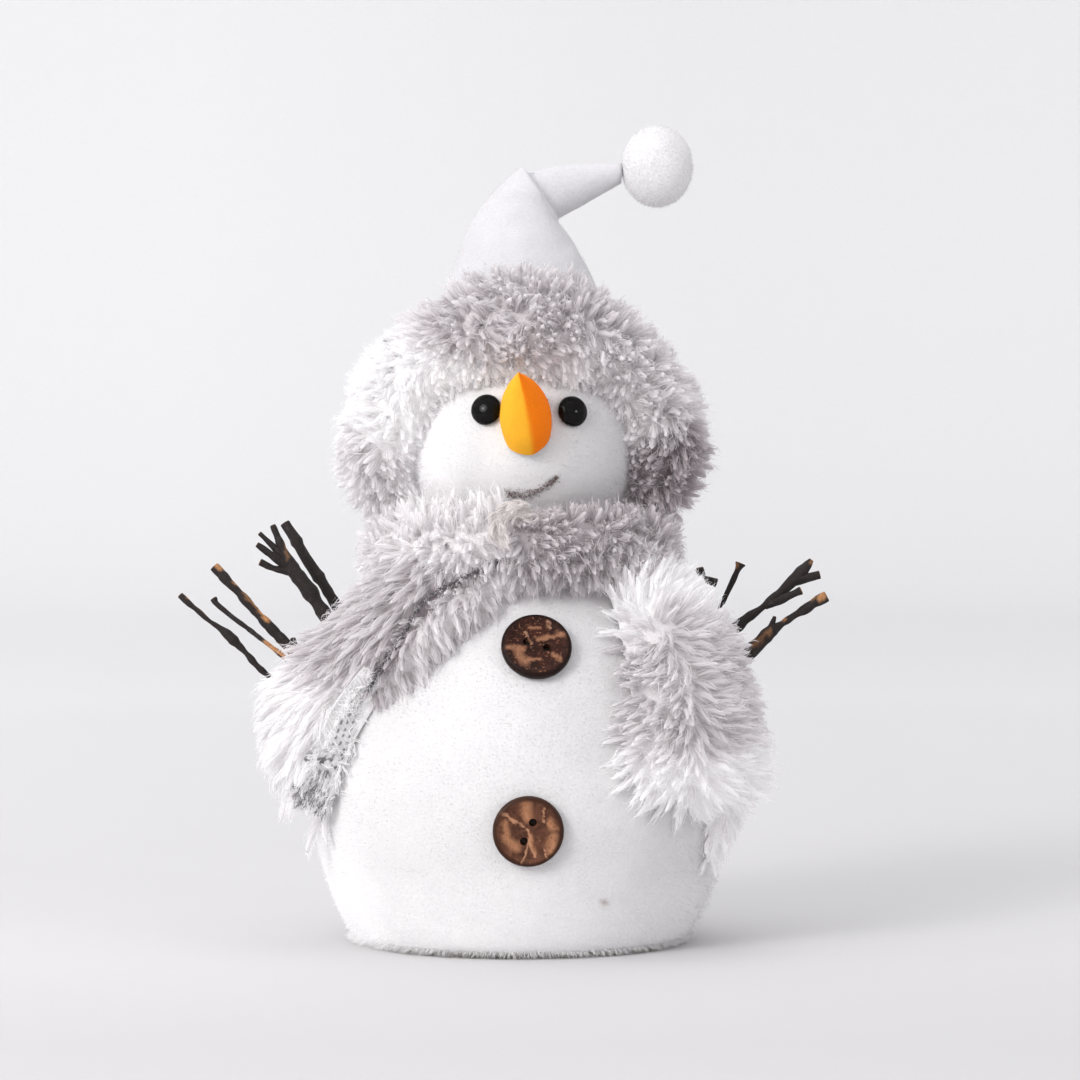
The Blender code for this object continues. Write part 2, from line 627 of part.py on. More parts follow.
def twig_socket(name, branch):
    """The hole that a twig is glued into."""
    start, then = (Vector(point[:3]) / 1000 for point in branch[:2])
    outward = (then - start).normalized()
    radius = (branch[0][3] / 1000 + SOCKET_CLEARANCE) / math.cos(math.pi / SOCKET_SIDES)
    deep, out = TWIG_DEPTH + GAP, 0.012
    socket = cylinder(f"{name}_socket", radius, deep + out, SOCKET_SIDES)
    socket.matrix_world = facing(start + outward * (out - deep) / 2, outward)
    return socket


def make_twigs():
    for name, branches in TWIGS.items():
        stem = straightened([into_body(branches[0]), *branches[1:]])
        twig = add_object(name, curve_tube(name, stem[0]), "bark")
        for i, branch in enumerate(stem[1:]):
            fork = f"{name}_branch_{i}"
            boolean(twig, add_object(fork, curve_tube(fork, branch)), "UNION")


def straightened(branches):
    """The radius where a stem leaves the body is kept as far as its glued end."""
    first = branches[0]
    return [[(*first[0][:3], first[1][3]), *first[1:]], *branches[1:]]


for old in list(bpy.data.objects):
    bpy.data.objects.remove(old)
dice = random.Random(LOCK_SEED)
parts = new_collection("snowman figurine")
cutters = new_collection("cutters")
materials = {name: new_material(name) for name in MATERIALS}
make_body()
make_head()
make_eyes()
make_nose()
make_buttons()
make_hat()
pompom_mesh("pompom", 0.0, "white_felt")
make_trim()
make_scarf()
make_twigs()
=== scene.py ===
"""Looks for the snowman figurine: flocked foam, felt, faux fur, coconut shell, beads and twigs.

Sizes and places are in millimetres, as the CAD model has them, and azimuths run from -Y towards +X.
"""

import math

import bmesh
import bpy
import numpy as np
from mathutils import Matrix, Vector


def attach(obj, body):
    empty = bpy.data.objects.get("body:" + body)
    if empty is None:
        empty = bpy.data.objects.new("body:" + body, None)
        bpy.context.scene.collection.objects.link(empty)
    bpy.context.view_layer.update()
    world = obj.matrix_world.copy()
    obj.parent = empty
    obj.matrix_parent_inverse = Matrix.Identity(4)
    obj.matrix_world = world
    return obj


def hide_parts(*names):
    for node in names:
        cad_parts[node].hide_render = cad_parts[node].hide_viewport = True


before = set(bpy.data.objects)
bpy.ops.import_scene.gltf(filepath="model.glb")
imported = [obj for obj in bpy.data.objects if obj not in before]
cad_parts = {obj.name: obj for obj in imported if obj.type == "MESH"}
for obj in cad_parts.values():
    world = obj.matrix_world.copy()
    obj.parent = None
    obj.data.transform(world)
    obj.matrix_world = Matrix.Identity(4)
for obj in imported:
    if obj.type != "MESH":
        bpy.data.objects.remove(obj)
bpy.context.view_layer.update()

MM = 0.001
GAP = 0.3  # between pieces that touch
UP = np.array([0.0, 0.0, 1.0])
LEVEL = np.array([1.0, 1.0, 0.0])
rng = np.random.default_rng(11)

# ---------------------------------------------------------------- the foam forms under everything
BODY_RADIUS, BODY_HALF_HEIGHT, BODY_WAIST_Z, NECK_Z = 62.4, 75.0, 46.0, 118.0
HEAD_RADIUS = 35.0
HEAD = np.array([0.6, 0.0, 150.0])


def unit(v):
    return v / np.maximum(np.linalg.norm(v, axis=-1, keepdims=True), 1e-9)


def mix(a, b, t):
    return a + (b - a) * t


def smooth(low, high, x):
    t = np.clip((x - low) / (high - low), 0.0, 1.0)
    return t * t * (3.0 - 2.0 * t)


def jitter(p, size):
    """A random step for each point."""
    return rng.normal(size=p.shape) * size


def value_noise(p, scale, seed=0):
    """Smooth noise from -1 to 1 at points."""
    q = np.asarray(p) / scale
    cell = np.floor(q).astype(np.int64)
    f = q - cell
    f = f * f * (3.0 - 2.0 * f)
    total = 0.0
    for corner in np.ndindex(2, 2, 2):
        h = (seed + 1) * 265443576
        for axis, prime in enumerate((73856093, 19349663, 83492791)):
            h = h ^ (cell[..., axis] + corner[axis]) * prime
        h = (h ^ (h >> 13)) * 1274126177 & 0xFFFFFFFF
        h = (h ^ (h >> 16)) & 0xFFFF
        x, y, z = (f[..., axis] if far else 1.0 - f[..., axis] for axis, far in enumerate(corner))
        total = total + h / 32767.5 * x * y * z
    return total - 1.0


def noise_vector(p, scale, seed=0):
    return np.stack([value_noise(p, scale, seed + i) for i in (0, 17, 31)], -1)


def heading(azimuth, elevation=0.0):
    """Unit vectors at azimuths and elevations in degrees."""
    a, e = np.broadcast_arrays(np.radians(azimuth), np.radians(elevation))
    return np.stack([np.sin(a) * np.cos(e), -np.cos(a) * np.cos(e), np.sin(e)], -1)


def body_radius(z):
    return BODY_RADIUS * np.sqrt(np.clip(1.0 - ((z - BODY_WAIST_Z) / BODY_HALF_HEIGHT) ** 2, 0.0, 1.0))


def body_normal(azimuth, z):
    slope = heading(azimuth) * (body_radius(z) / BODY_RADIUS**2)[..., None]
    slope[..., 2] = (z - BODY_WAIST_Z) / BODY_HALF_HEIGHT**2
    return unit(slope)


def on_body(azimuth, z, lift=0.0):
    azimuth, z = np.broadcast_arrays(np.asarray(azimuth, float), np.asarray(z, float))
    p = heading(azimuth) * body_radius(z)[..., None]
    p[..., 2] = z
    return p + body_normal(azimuth, z) * np.asarray(lift)[..., None]


def from_axis(p):
    """The points on the figurine's axis, level with points."""
    return p * UP


def spline(rows, steps):
    """Catmull-Rom through rows of numbers."""
    rows = np.asarray(rows, float)
    padded = np.concatenate([rows[:1], rows, rows[-1:]])
    found = [rows[:1]]
    t = (np.arange(steps) + 1)[:, None] / steps
    for i in range(len(rows) - 1):
        a, b, c, d = padded[i : i + 4]
        found.append(b + 0.5 * t * (c - a + t * (2 * a - 5 * b + 4 * c - d + t * (3 * (b - c) + d - a))))
    return np.concatenate(found)


# ---------------------------------------------------------------- meshes
def tri_mesh(name, verts, tris, tint=None, slot=None, material=None):
    """A smooth object of triangles from points in millimetres, with a colour at each point."""
    verts, tris = np.asarray(verts, float), np.asarray(tris, np.int32)
    mesh = bpy.data.meshes.new(name)
    mesh.vertices.add(len(verts))
    mesh.vertices.foreach_set("co", (verts * MM).ravel())
    mesh.loops.add(3 * len(tris))
    mesh.loops.foreach_set("vertex_index", tris.ravel())
    mesh.polygons.add(len(tris))
    mesh.polygons.foreach_set("loop_start", np.arange(len(tris), dtype=np.int32) * 3)
    mesh.update(calc_edges=True)
    if tint is not None:
        rgba = np.ones((len(verts), 4))
        rgba[:, :3] = tint
        layer = mesh.color_attributes.new("tint", "FLOAT_COLOR", "POINT")
        layer.data.foreach_set("color", rgba.ravel())
    mesh.shade_smooth()
    piece = bpy.data.objects.new(name, mesh)
    bpy.context.scene.collection.objects.link(piece)
    if material:
        mesh.materials.append(material)
    if slot:
        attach(piece, "root")
    return piece


def grid_tris(rows, columns, wrap_columns=False):
    """Triangles over a grid of points."""
    i = np.arange(rows - 1)[:, None]
    k = np.arange(columns if wrap_columns else columns - 1)[None, :]
    a, b = i * columns + k, i * columns + (k + 1) % columns
    c, d = b + columns, a + columns
    return np.concatenate([np.stack([a, b, c], -1).reshape(-1, 3), np.stack([a, c, d], -1).reshape(-1, 3)])


def fan(first, sides, middle):
    """Triangles that close a ring of points round a middle point."""
    k = np.arange(sides)
    return np.stack([first + k, first + (k + 1) % sides, np.full(sides, middle)], 1)


def outward(verts, tris, centre):
    """The triangles, turned to face away from a point, or from a point for each triangle."""
    a, b, c = (verts[tris[:, i]] for i in range(3))
    flip = ((np.cross(b - a, c - a)) * (a - centre)).sum(1).sum() < 0
    return tris[:, ::-1] if flip else tris


def shell(grid, centre):
    """A grid's points and triangles, which face away from centre, a point or a function of the points."""
    verts, tris = grid.reshape(-1, 3), grid_tris(*grid.shape[:2])
    return verts, outward(verts, tris, centre(verts)[tris[:, 0]] if callable(centre) else centre)


def lathe(profile, sides):
    """Points and triangles of a profile (radius, z) turned round Z, closed where it meets the axis."""
    profile = np.asarray(profile, float)
    a = np.linspace(0.0, 2 * np.pi, sides, endpoint=False)
    top, foot = profile[0, 0] == 0.0, profile[-1, 0] == 0.0
    rings = profile[int(top) : len(profile) - int(foot)]
    radius, z = rings[:, None, 0], np.repeat(rings[:, None, 1], sides, 1)
    verts = [np.stack([radius * np.cos(a), radius * np.sin(a), z], -1).reshape(-1, 3)]
    tris = [grid_tris(len(rings), sides, wrap_columns=True)]
    count = len(rings) * sides
    if top:
        verts.append([[0.0, 0.0, profile[0, 1]]])
        tris.append(fan(0, sides, count)[:, [1, 0, 2]])
        count += 1
    if foot:
        verts.append([[0.0, 0.0, profile[-1, 1]]])
        tris.append(fan((len(rings) - 1) * sides, sides, count))
    verts, tris = np.concatenate(verts), np.concatenate(tris)
    return verts, outward(verts, tris, verts.mean(0))


def join(parts):
    """Several (points, triangles, tints) as one."""
    verts, tris, tints, start = [], [], [], 0
    for v, t, c in parts:
        verts.append(v)
        tris.append(t + start)
        tints.append(np.broadcast_to(c, v.shape))
        start += len(v)
    return np.concatenate(verts), np.concatenate(tris), np.concatenate(tints)


# ---------------------------------------------------------------- materials
class Nodes:
    """Builds the nodes of one material, at sizes in metres and scales per metre."""

    def __init__(self, tree):
        self.tree = tree

    def put(self, node, inputs):
        """Sets a node's inputs, by name or number, to sockets or values."""
        for key, value in dict(inputs).items():
            if isinstance(value, bpy.types.NodeSocket):
                self.tree.links.new(value, node.inputs[key])
            else:
                node.inputs[key].default_value = value
        return node

    def add(self, kind, inputs=(), **settings):
        node = self.tree.nodes.new("ShaderNode" + kind)
        for key, value in settings.items():
            setattr(node, key, value)
        return self.put(node, inputs)

    def place(self):
        return self.add("TexCoord").outputs["Object"]

    def tint(self):
        return self.add("VertexColor", layer_name="tint").outputs["Color"]

    def noise(self, scale, detail=3.0, rough=0.55, vector=None, distortion=0.0):
        return self.add("TexNoise", {"Vector": vector or self.place(), "Scale": scale, "Detail": detail,
                                     "Roughness": rough, "Distortion": distortion}).outputs

    def mapped(self, rotation, scale=(1.0, 1.0, 1.0)):
        inputs = {"Vector": self.place(), "Rotation": rotation, "Scale": scale}
        return self.add("Mapping", inputs).outputs["Vector"]

    def span(self, value, low, high, to_low=0.0, to_high=1.0):
        """Carries a value from one range to another, held at its ends."""
        inputs = {"Value": value, "From Min": low, "From Max": high, "To Min": to_low, "To Max": to_high}
        return self.add("MapRange", inputs).outputs["Result"]

    def blend(self, factor, a, b, kind="MIX"):
        a, b = ((*c, 1.0) if isinstance(c, tuple) else c for c in (a, b))
        return self.add("Mix", {0: factor, 6: a, 7: b}, data_type="RGBA", blend_type=kind).outputs[2]

    def times(self, a, b):
        return self.blend(1.0, a, b, "MULTIPLY")

    def math(self, operation, a, b):
        return self.add("Math", {0: a, 1: b}, operation=operation).outputs[0]

    def vector(self, operation, a, b=None):
        second = {} if b is None else {"Scale" if operation == "SCALE" else 1: b}
        outputs = self.add("VectorMath", {0: a, **second}, operation=operation).outputs
        return outputs["Value" if operation in ("LENGTH", "DOT_PRODUCT") else "Vector"]

    def bump(self, height, strength, distance):
        inputs = {"Height": height, "Strength": strength, "Distance": distance}
        return self.add("Bump", inputs).outputs["Normal"]

    def near_segment(self, p, a, b):
        """The distance from points to the line between two places."""
        d = Vector(b) - Vector(a)
        off = self.vector("SUBTRACT", p, Vector(a))
        dot = self.vector("DOT_PRODUCT", off, d / max(d.length_squared, 1e-12))
        share = self.add("Math", {0: dot, 1: 1.0}, operation="MULTIPLY", use_clamp=True).outputs[0]
        return self.vector("LENGTH", self.vector("SUBTRACT", off, self.vector("SCALE", d, share)))


def material(name, look, through=0.0):
    """A material from a look, which gives the inputs of its shader. through is how much of it is a
    translucent share of the same colour, as pile lets some light through."""
    made = bpy.data.materials.new(name)
    made.use_nodes = True
    tree = made.node_tree
    n = Nodes(tree)
    shader = n.put(tree.nodes["Principled BSDF"], look(n))
    if through:
        glow = n.add("BsdfTranslucent", {"Color": shader.inputs["Base Color"].links[0].from_socket})
        both = n.add("MixShader", {0: through, 1: shader.outputs["BSDF"], 2: glow.outputs["BSDF"]})
        n.put(tree.nodes["Material Output"], {"Surface": both.outputs["Shader"]})
    return made


def fibrous(low, high, scale=900.0, sheen=0.2, painted_glow=0.0):
    """Fibres whose colour is painted point by point, with a fine mottling from low to high. The last argument
    is a painted glow:
    the fibres give off light in their own colour, standing in for the light that goes on from fibre to fibre
    deep in the pile."""

    def look(n):
        tint = n.tint()
        fine = n.noise(scale, 2.0)["Fac"]
        colour = n.times(tint, n.span(fine, 0.3, 0.7, low, high))
        return {"Base Color": colour, "Roughness": n.span(fine, 0.3, 0.7, 0.78, 0.95),
                "Normal": n.bump(fine, 0.25, 0.0003), "Specular IOR Level": 0.15, "Sheen Weight": sheen,
                "Sheen Roughness": 0.5, "Emission Color": colour, "Emission Strength": painted_glow}

    return look


def felt(n):
    """Pressed white felt: matted fibres, a soft nap and slight clouding."""
    one = n.noise(FELT_FIBRE, 2.0, vector=n.mapped((0.4, 0.9, 0.3), (1.0, 0.16, 0.5)))["Fac"]
    two = n.noise(FELT_FIBRE, 2.0, vector=n.mapped((-0.7, 0.2, 1.2), (0.16, 1.0, 0.6)))["Fac"]
    matted = n.math("MULTIPLY", one, two)
    cloud = n.noise(120.0)["Fac"]
    colour = n.blend(n.span(matted, 0.12, 0.4), FELT_DEEP, FELT_WHITE)
    colour = n.blend(n.span(cloud, 0.35, 0.7, 0.0, 0.25), colour, FELT_DEEP)
    return {"Base Color": colour, "Roughness": n.span(matted, 0.1, 0.4, 0.98, 0.86),
            "Normal": n.bump(matted, 0.5, 0.0004), "Specular IOR Level": 0.15, "Sheen Weight": 0.35,
            "Sheen Roughness": 0.45}


def flocked(n):
    """Short flock on foam, in the colour that the tint gives."""
    tint = n.tint()
    fine, cloud = n.noise(1500.0)["Fac"], n.noise(90.0, 4.0)["Fac"]
    colour = n.times(tint, n.blend(n.span(cloud, 0.35, 0.7), (1.0, 1.0, 1.0), (0.965, 0.96, 0.968)))
    colour = n.times(colour, n.span(fine, 0.3, 0.65, 0.93, 1.0))
    height = n.math("ADD", fine, n.span(cloud, 0.3, 0.7, 0.0, 1.2))
    return {"Base Color": colour, "Roughness": n.span(fine, 0.3, 0.7, 0.86, 0.98),
            "Normal": n.bump(height, 0.35, 0.0005), "Specular IOR Level": 0.12, "Sheen Weight": 0.3,
            "Sheen Roughness": 0.5}


def bead(n):
    """Black glossy bead with a faint haze."""
    haze = n.noise(700.0)["Fac"]
    return {"Base Color": n.blend(haze, (0.003, 0.003, 0.003), (0.006, 0.005, 0.005)),
            "Roughness": n.span(haze, 0.3, 0.8, 0.05, 0.12), "Normal": n.bump(haze, 0.02, 0.00005),
            "Specular IOR Level": 0.12}


def coconut(turn, ground, dark, tan, patches, veins, flecked):
    """Polished coconut shell. patches and veins are lines seen from the front with the wearer's up as up:
    x and y of both ends and a width, in millimetres; flecked is how much of it is flecked with tan."""

    def look(n):
        upright = n.mapped((0.0, 0.0, math.radians(turn)))
        flat = n.vector("MULTIPLY", upright, (1.0, 1.0, 0.0))
        coarse, fine = n.noise(300.0, 4.0, 0.65, upright, 0.5), n.noise(1100.0, 4.0, 0.7, upright)["Fac"]
        ruffle = n.vector("SUBTRACT", coarse["Color"], (0.5, 0.5, 0.5))
        bent = n.vector("ADD", flat, n.vector("SCALE", ruffle, RUFFLE * MM))

        def mark(colour, lines, shade, soft, strength):
            for x0, y0, x1, y1, breadth in lines:
                far = n.near_segment(bent, (x0 * MM, y0 * MM, 0.0), (x1 * MM, y1 * MM, 0.0))
                shown = n.span(far, breadth * MM * soft, breadth * MM, strength, 0.0)
                colour = n.blend(shown, colour, shade)
            return colour

        colour = n.blend(n.span(coarse["Fac"], 0.36, 0.62), dark, ground)
        colour = mark(colour, patches, tan, 0.1, 0.8)
        fleck = n.span(fine, 0.66 - 0.08 * flecked, 0.74 - 0.05 * flecked, 0.0, 0.8)
        colour = n.blend(fleck, colour, tan)
        colour = n.blend(n.span(fine, 0.30, 0.42), dark, colour)
        colour = mark(colour, veins, tuple(0.95 * c + 0.03 for c in tan), 0.3, 0.85)
        # Darker towards the rim.
        darker_rim = n.span(n.vector("LENGTH", flat), 0.0086, 0.0094, 0.0, 0.9)
        colour = n.blend(darker_rim, colour, tuple(c * 0.7 for c in dark))
        return {"Base Color": colour, "Roughness": n.span(fine, 0.3, 0.7, 0.34, 0.52),
                "Normal": n.bump(n.math("ADD", coarse["Fac"], fine), 0.3, 0.0002),
                "Specular IOR Level": 0.14}

    return look


def bark(n):
    """Dark bark with fine cracks and dust; the tint is pale where the bark has come off and at one painted
    highlight.
    """
    fine, rough = n.noise(1300.0, 4.0, 0.65)["Fac"], n.noise(420.0, 3.0, 0.6)["Fac"]
    colour = n.times(n.tint(), n.span(fine, 0.3, 0.75, 0.55, 1.7))
    colour = n.blend(n.span(rough, 0.58, 0.72, 0.0, 0.25), colour, (0.10, 0.085, 0.085))
    return {"Base Color": colour, "Roughness": n.span(fine, 0.3, 0.7, 0.6, 0.9),
            "Normal": n.bump(n.math("ADD", fine, rough), 0.7, 0.0005), "Specular IOR Level": 0.35}


def knit(n):
    """The white knitted backing of the fur, with grey ends of pile in rows from the tint."""
    rows = n.add("TexWave", {"Vector": n.place(), "Scale": 420.0, "Distortion": 2.5, "Detail": 1.0},
                 bands_direction="DIAGONAL").outputs["Fac"]
    fine = n.noise(2200.0, 2.0)["Fac"]
    return {"Base Color": n.times(n.tint(), n.span(rows, 0.0, 1.0, 0.86, 1.0)),
            "Roughness": n.span(fine, 0.3, 0.7, 0.85, 0.97),
            "Normal": n.bump(n.math("ADD", rows, fine), 0.5, 0.0003), "Specular IOR Level": 0.12,
            "Sheen Weight": 0.2}


def paper(n):
    """The pale seamless ground, with painted shade near the figurine and in front of it, a painted pool of
    light to its left, and painted light where it sweeps up: a lighter colour and a glow, stronger at the left.
    """
    where = n.add("NewGeometry").outputs["Position"]
    far = n.vector("LENGTH", n.vector("MULTIPLY", where, (1.0, 1.0, 0.0)))
    fine = n.noise(300.0, 2.0)["Fac"]
    sweep = n.span(far, 1.0, 3.0)
    colour = n.blend(n.span(far, 0.3, 1.2), PAPER_SHADED_NEAR, PAPER_FAR)
    colour = n.blend(sweep, colour, PAPER_LIT_SWEEP)
    split = n.add("SeparateXYZ", {0: where}).outputs
    # Painted shade on the floor in front of the figurine (near) and a painted pool of light to its left
    # (left).
    near, left = n.span(split["Y"], -0.22, -0.06, 0.91, 1.0), n.span(split["X"], -0.35, 0.15, 1.08, 1.0)
    colour = n.times(colour, n.math("MULTIPLY", near, left))
    colour = n.times(colour, n.span(fine, 0.3, 0.7, 0.985, 1.0))
    glow = n.math("MULTIPLY", sweep, n.span(split["X"], -1.5, 1.5, *BACKDROP_GLOW))
    return {"Base Color": colour, "Roughness": n.span(fine, 0.3, 0.7, 0.85, 0.95),
            "Normal": n.bump(fine, 0.02, 0.0001), "Specular IOR Level": 0.2,
            "Emission Color": (0.98, 0.98, 1.0, 1.0), "Emission Strength": glow}


# The ground's colours: painted shade near the figurine, the plain floor further out, and painted light on the
# sweep.
PAPER_SHADED_NEAR, PAPER_FAR, PAPER_LIT_SWEEP = (0.59, 0.58, 0.587), (0.70, 0.692, 0.698), (0.76, 0.757, 0.765)
BACKDROP_GLOW = 0.095, 0.050  # how much the sweep glows, at the left and at the right
FELT_FIBRE, FELT_WHITE, FELT_DEEP = 2600.0, (0.60, 0.59, 0.61), (0.53, 0.52, 0.545)
RUFFLE = 3.4  # how far the coconut shell's grain bends its patches
UPPER_PATCHES = [(-9.2, -0.9, -4.0, -1.0, 1.2), (-5.6, -2.6, -3.8, -5.0, 1.9), (-2.6, -4.4, 1.2, -4.6, 0.8),
                 (0.4, 2.0, 8.0, 3.5, 1.1), (4.6, -2.6, 6.6, -5.2, 1.1), (-1.6, 6.0, 1.4, 5.6, 0.8)]
UPPER_VEINS = [(-3.2, 4.2, -2.6, 2.0, 0.5), (3.6, 7.0, 3.9, 5.2, 0.6), (-2.2, 1.4, -1.4, 0.4, 0.5)]
LOWER_PATCHES = [(-0.6, 7.6, 0.0, 4.2, 2.1), (-6.8, 2.6, -6.2, -0.6, 1.4), (-6.2, -2.2, -3.6, -4.2, 2.0),
                 (7.0, -1.6, 6.4, -5.6, 1.8), (6.0, 3.0, 7.4, 1.0, 1.5), (0.4, -1.0, 2.0, -6.4, 1.0)]
LOWER_VEINS = [(-8.4, 5.8, -4.6, 3.6, 0.7), (-4.6, 3.6, 0.0, 0.5, 0.55), (0.0, 0.5, 0.2, -2.2, 0.6),
               (0.2, -2.2, -2.0, -9.0, 0.6), (0.2, -2.2, 2.2, -7.0, 0.55), (4.6, -5.2, 5.4, -8.0, 0.5),
               (4.2, 6.6, 4.0, 3.0, 0.45)]
UPPER_TURN, LOWER_TURN = -18.0, 65.0  # how far the buttons are turned, in degrees

# The last number of each fibrous look is a painted glow: emission from the pile itself.
FUR = material("faux_fur", fibrous(0.97, 1.0, 900.0, 0.4, 0.22), through=0.5)
FUR_BASE = material("fur_ground", fibrous(0.8, 1.0, 1500.0, 0.1, 0.12))
FLOCK = material("flocking", flocked)
FUZZ = material("flock_fibres", fibrous(0.95, 1.0, 500.0, 0.3, 0.04), through=0.4)
WHITE_FELT = material("white_felt", felt)
ORANGE_FELT = material("orange_felt", fibrous(0.86, 1.0, 2600.0, 0.0))
BEAD = material("black_bead", bead)
BARK = material("bark", bark)
KNIT = material("knitted_backing", knit)
GLUE = material("brown_glue", coconut(
    0.0, (0.030, 0.020, 0.015), (0.010, 0.006, 0.004), (0.07, 0.05, 0.04),
    patches=[], veins=[], flecked=0.0))
SHELL_UPPER = material("coconut_shell_dark", coconut(
    UPPER_TURN, (0.040, 0.011, 0.006), (0.012, 0.0035, 0.002), (0.33, 0.155, 0.085),
    UPPER_PATCHES, UPPER_VEINS, flecked=1.0))
SHELL_LOWER = material("coconut_shell_brown", coconut(
    LOWER_TURN, (0.125, 0.050, 0.029), (0.046, 0.017, 0.009), (0.42, 0.195, 0.10),
    LOWER_PATCHES, LOWER_VEINS, flecked=0.0))


# ---------------------------------------------------------------- fur
def scatter(grid, spacing, inside, keep=None):
    """Points spread evenly over a grid of points: places, normals, the grid's directions along and across,
    and their shares of the way along and across it. inside gives points that the normals face away from."""
    rows, columns = grid.shape[:2]
    a, b, c, d = grid[:-1, :-1], grid[:-1, 1:], grid[1:, 1:], grid[1:, :-1]
    cross = np.cross(b - a, d - a) / 2 + np.cross(d - c, b - c) / 2
    area = np.linalg.norm(cross, axis=-1).ravel()
    count = int(area.sum() / spacing**2 * TRIED)
    cell = rng.choice(len(area), count, p=area / area.sum())
    i, k = cell // (columns - 1), cell % (columns - 1)
    s, t = rng.random(count)[:, None], rng.random(count)[:, None]
    pa, pb, pc, pd = a[i, k], b[i, k], c[i, k], d[i, k]
    p = pa * (1 - s) * (1 - t) + pb * (1 - s) * t + pc * s * t + pd * s * (1 - t)
    made = p, (i + s[:, 0]) / (rows - 1), (k + t[:, 0]) / (columns - 1), pd - pa + pc - pb, pb - pa + pc - pd
    if keep is not None:
        some = keep(*made[:3])
        made = [value[some] for value in made]
    chosen = thin(made[0], spacing * 0.8)
    p, u, v, along, across = (value[chosen] for value in made)
    along, across = unit(along), unit(across)
    normal = unit(np.cross(along, across))
    flip = np.sign(((p - inside(p)) * normal).sum(1))
    return p, normal * np.where(flip == 0, 1, flip)[:, None], along, across, u, v


def thin(points, distance):
    """Which of the points to keep, so that none are closer than a distance."""
    taken, kept, near = {}, [], distance * distance
    around = [(x - 1, y - 1, z - 1) for x, y, z in np.ndindex(3, 3, 3)]
    cells = map(tuple, np.floor(points / distance).astype(int).tolist())
    for index, (cell, (px, py, pz)) in enumerate(zip(cells, points.tolist(), strict=True)):
        others = (q for x, y, z in around for q in taken.get((cell[0] + x, cell[1] + y, cell[2] + z), ()))
        if all((x - px) ** 2 + (y - py) ** 2 + (z - pz) ** 2 >= near for x, y, z in others):
            taken.setdefault(cell, []).append((px, py, pz))
            kept.append(index)
    return np.array(kept, int)


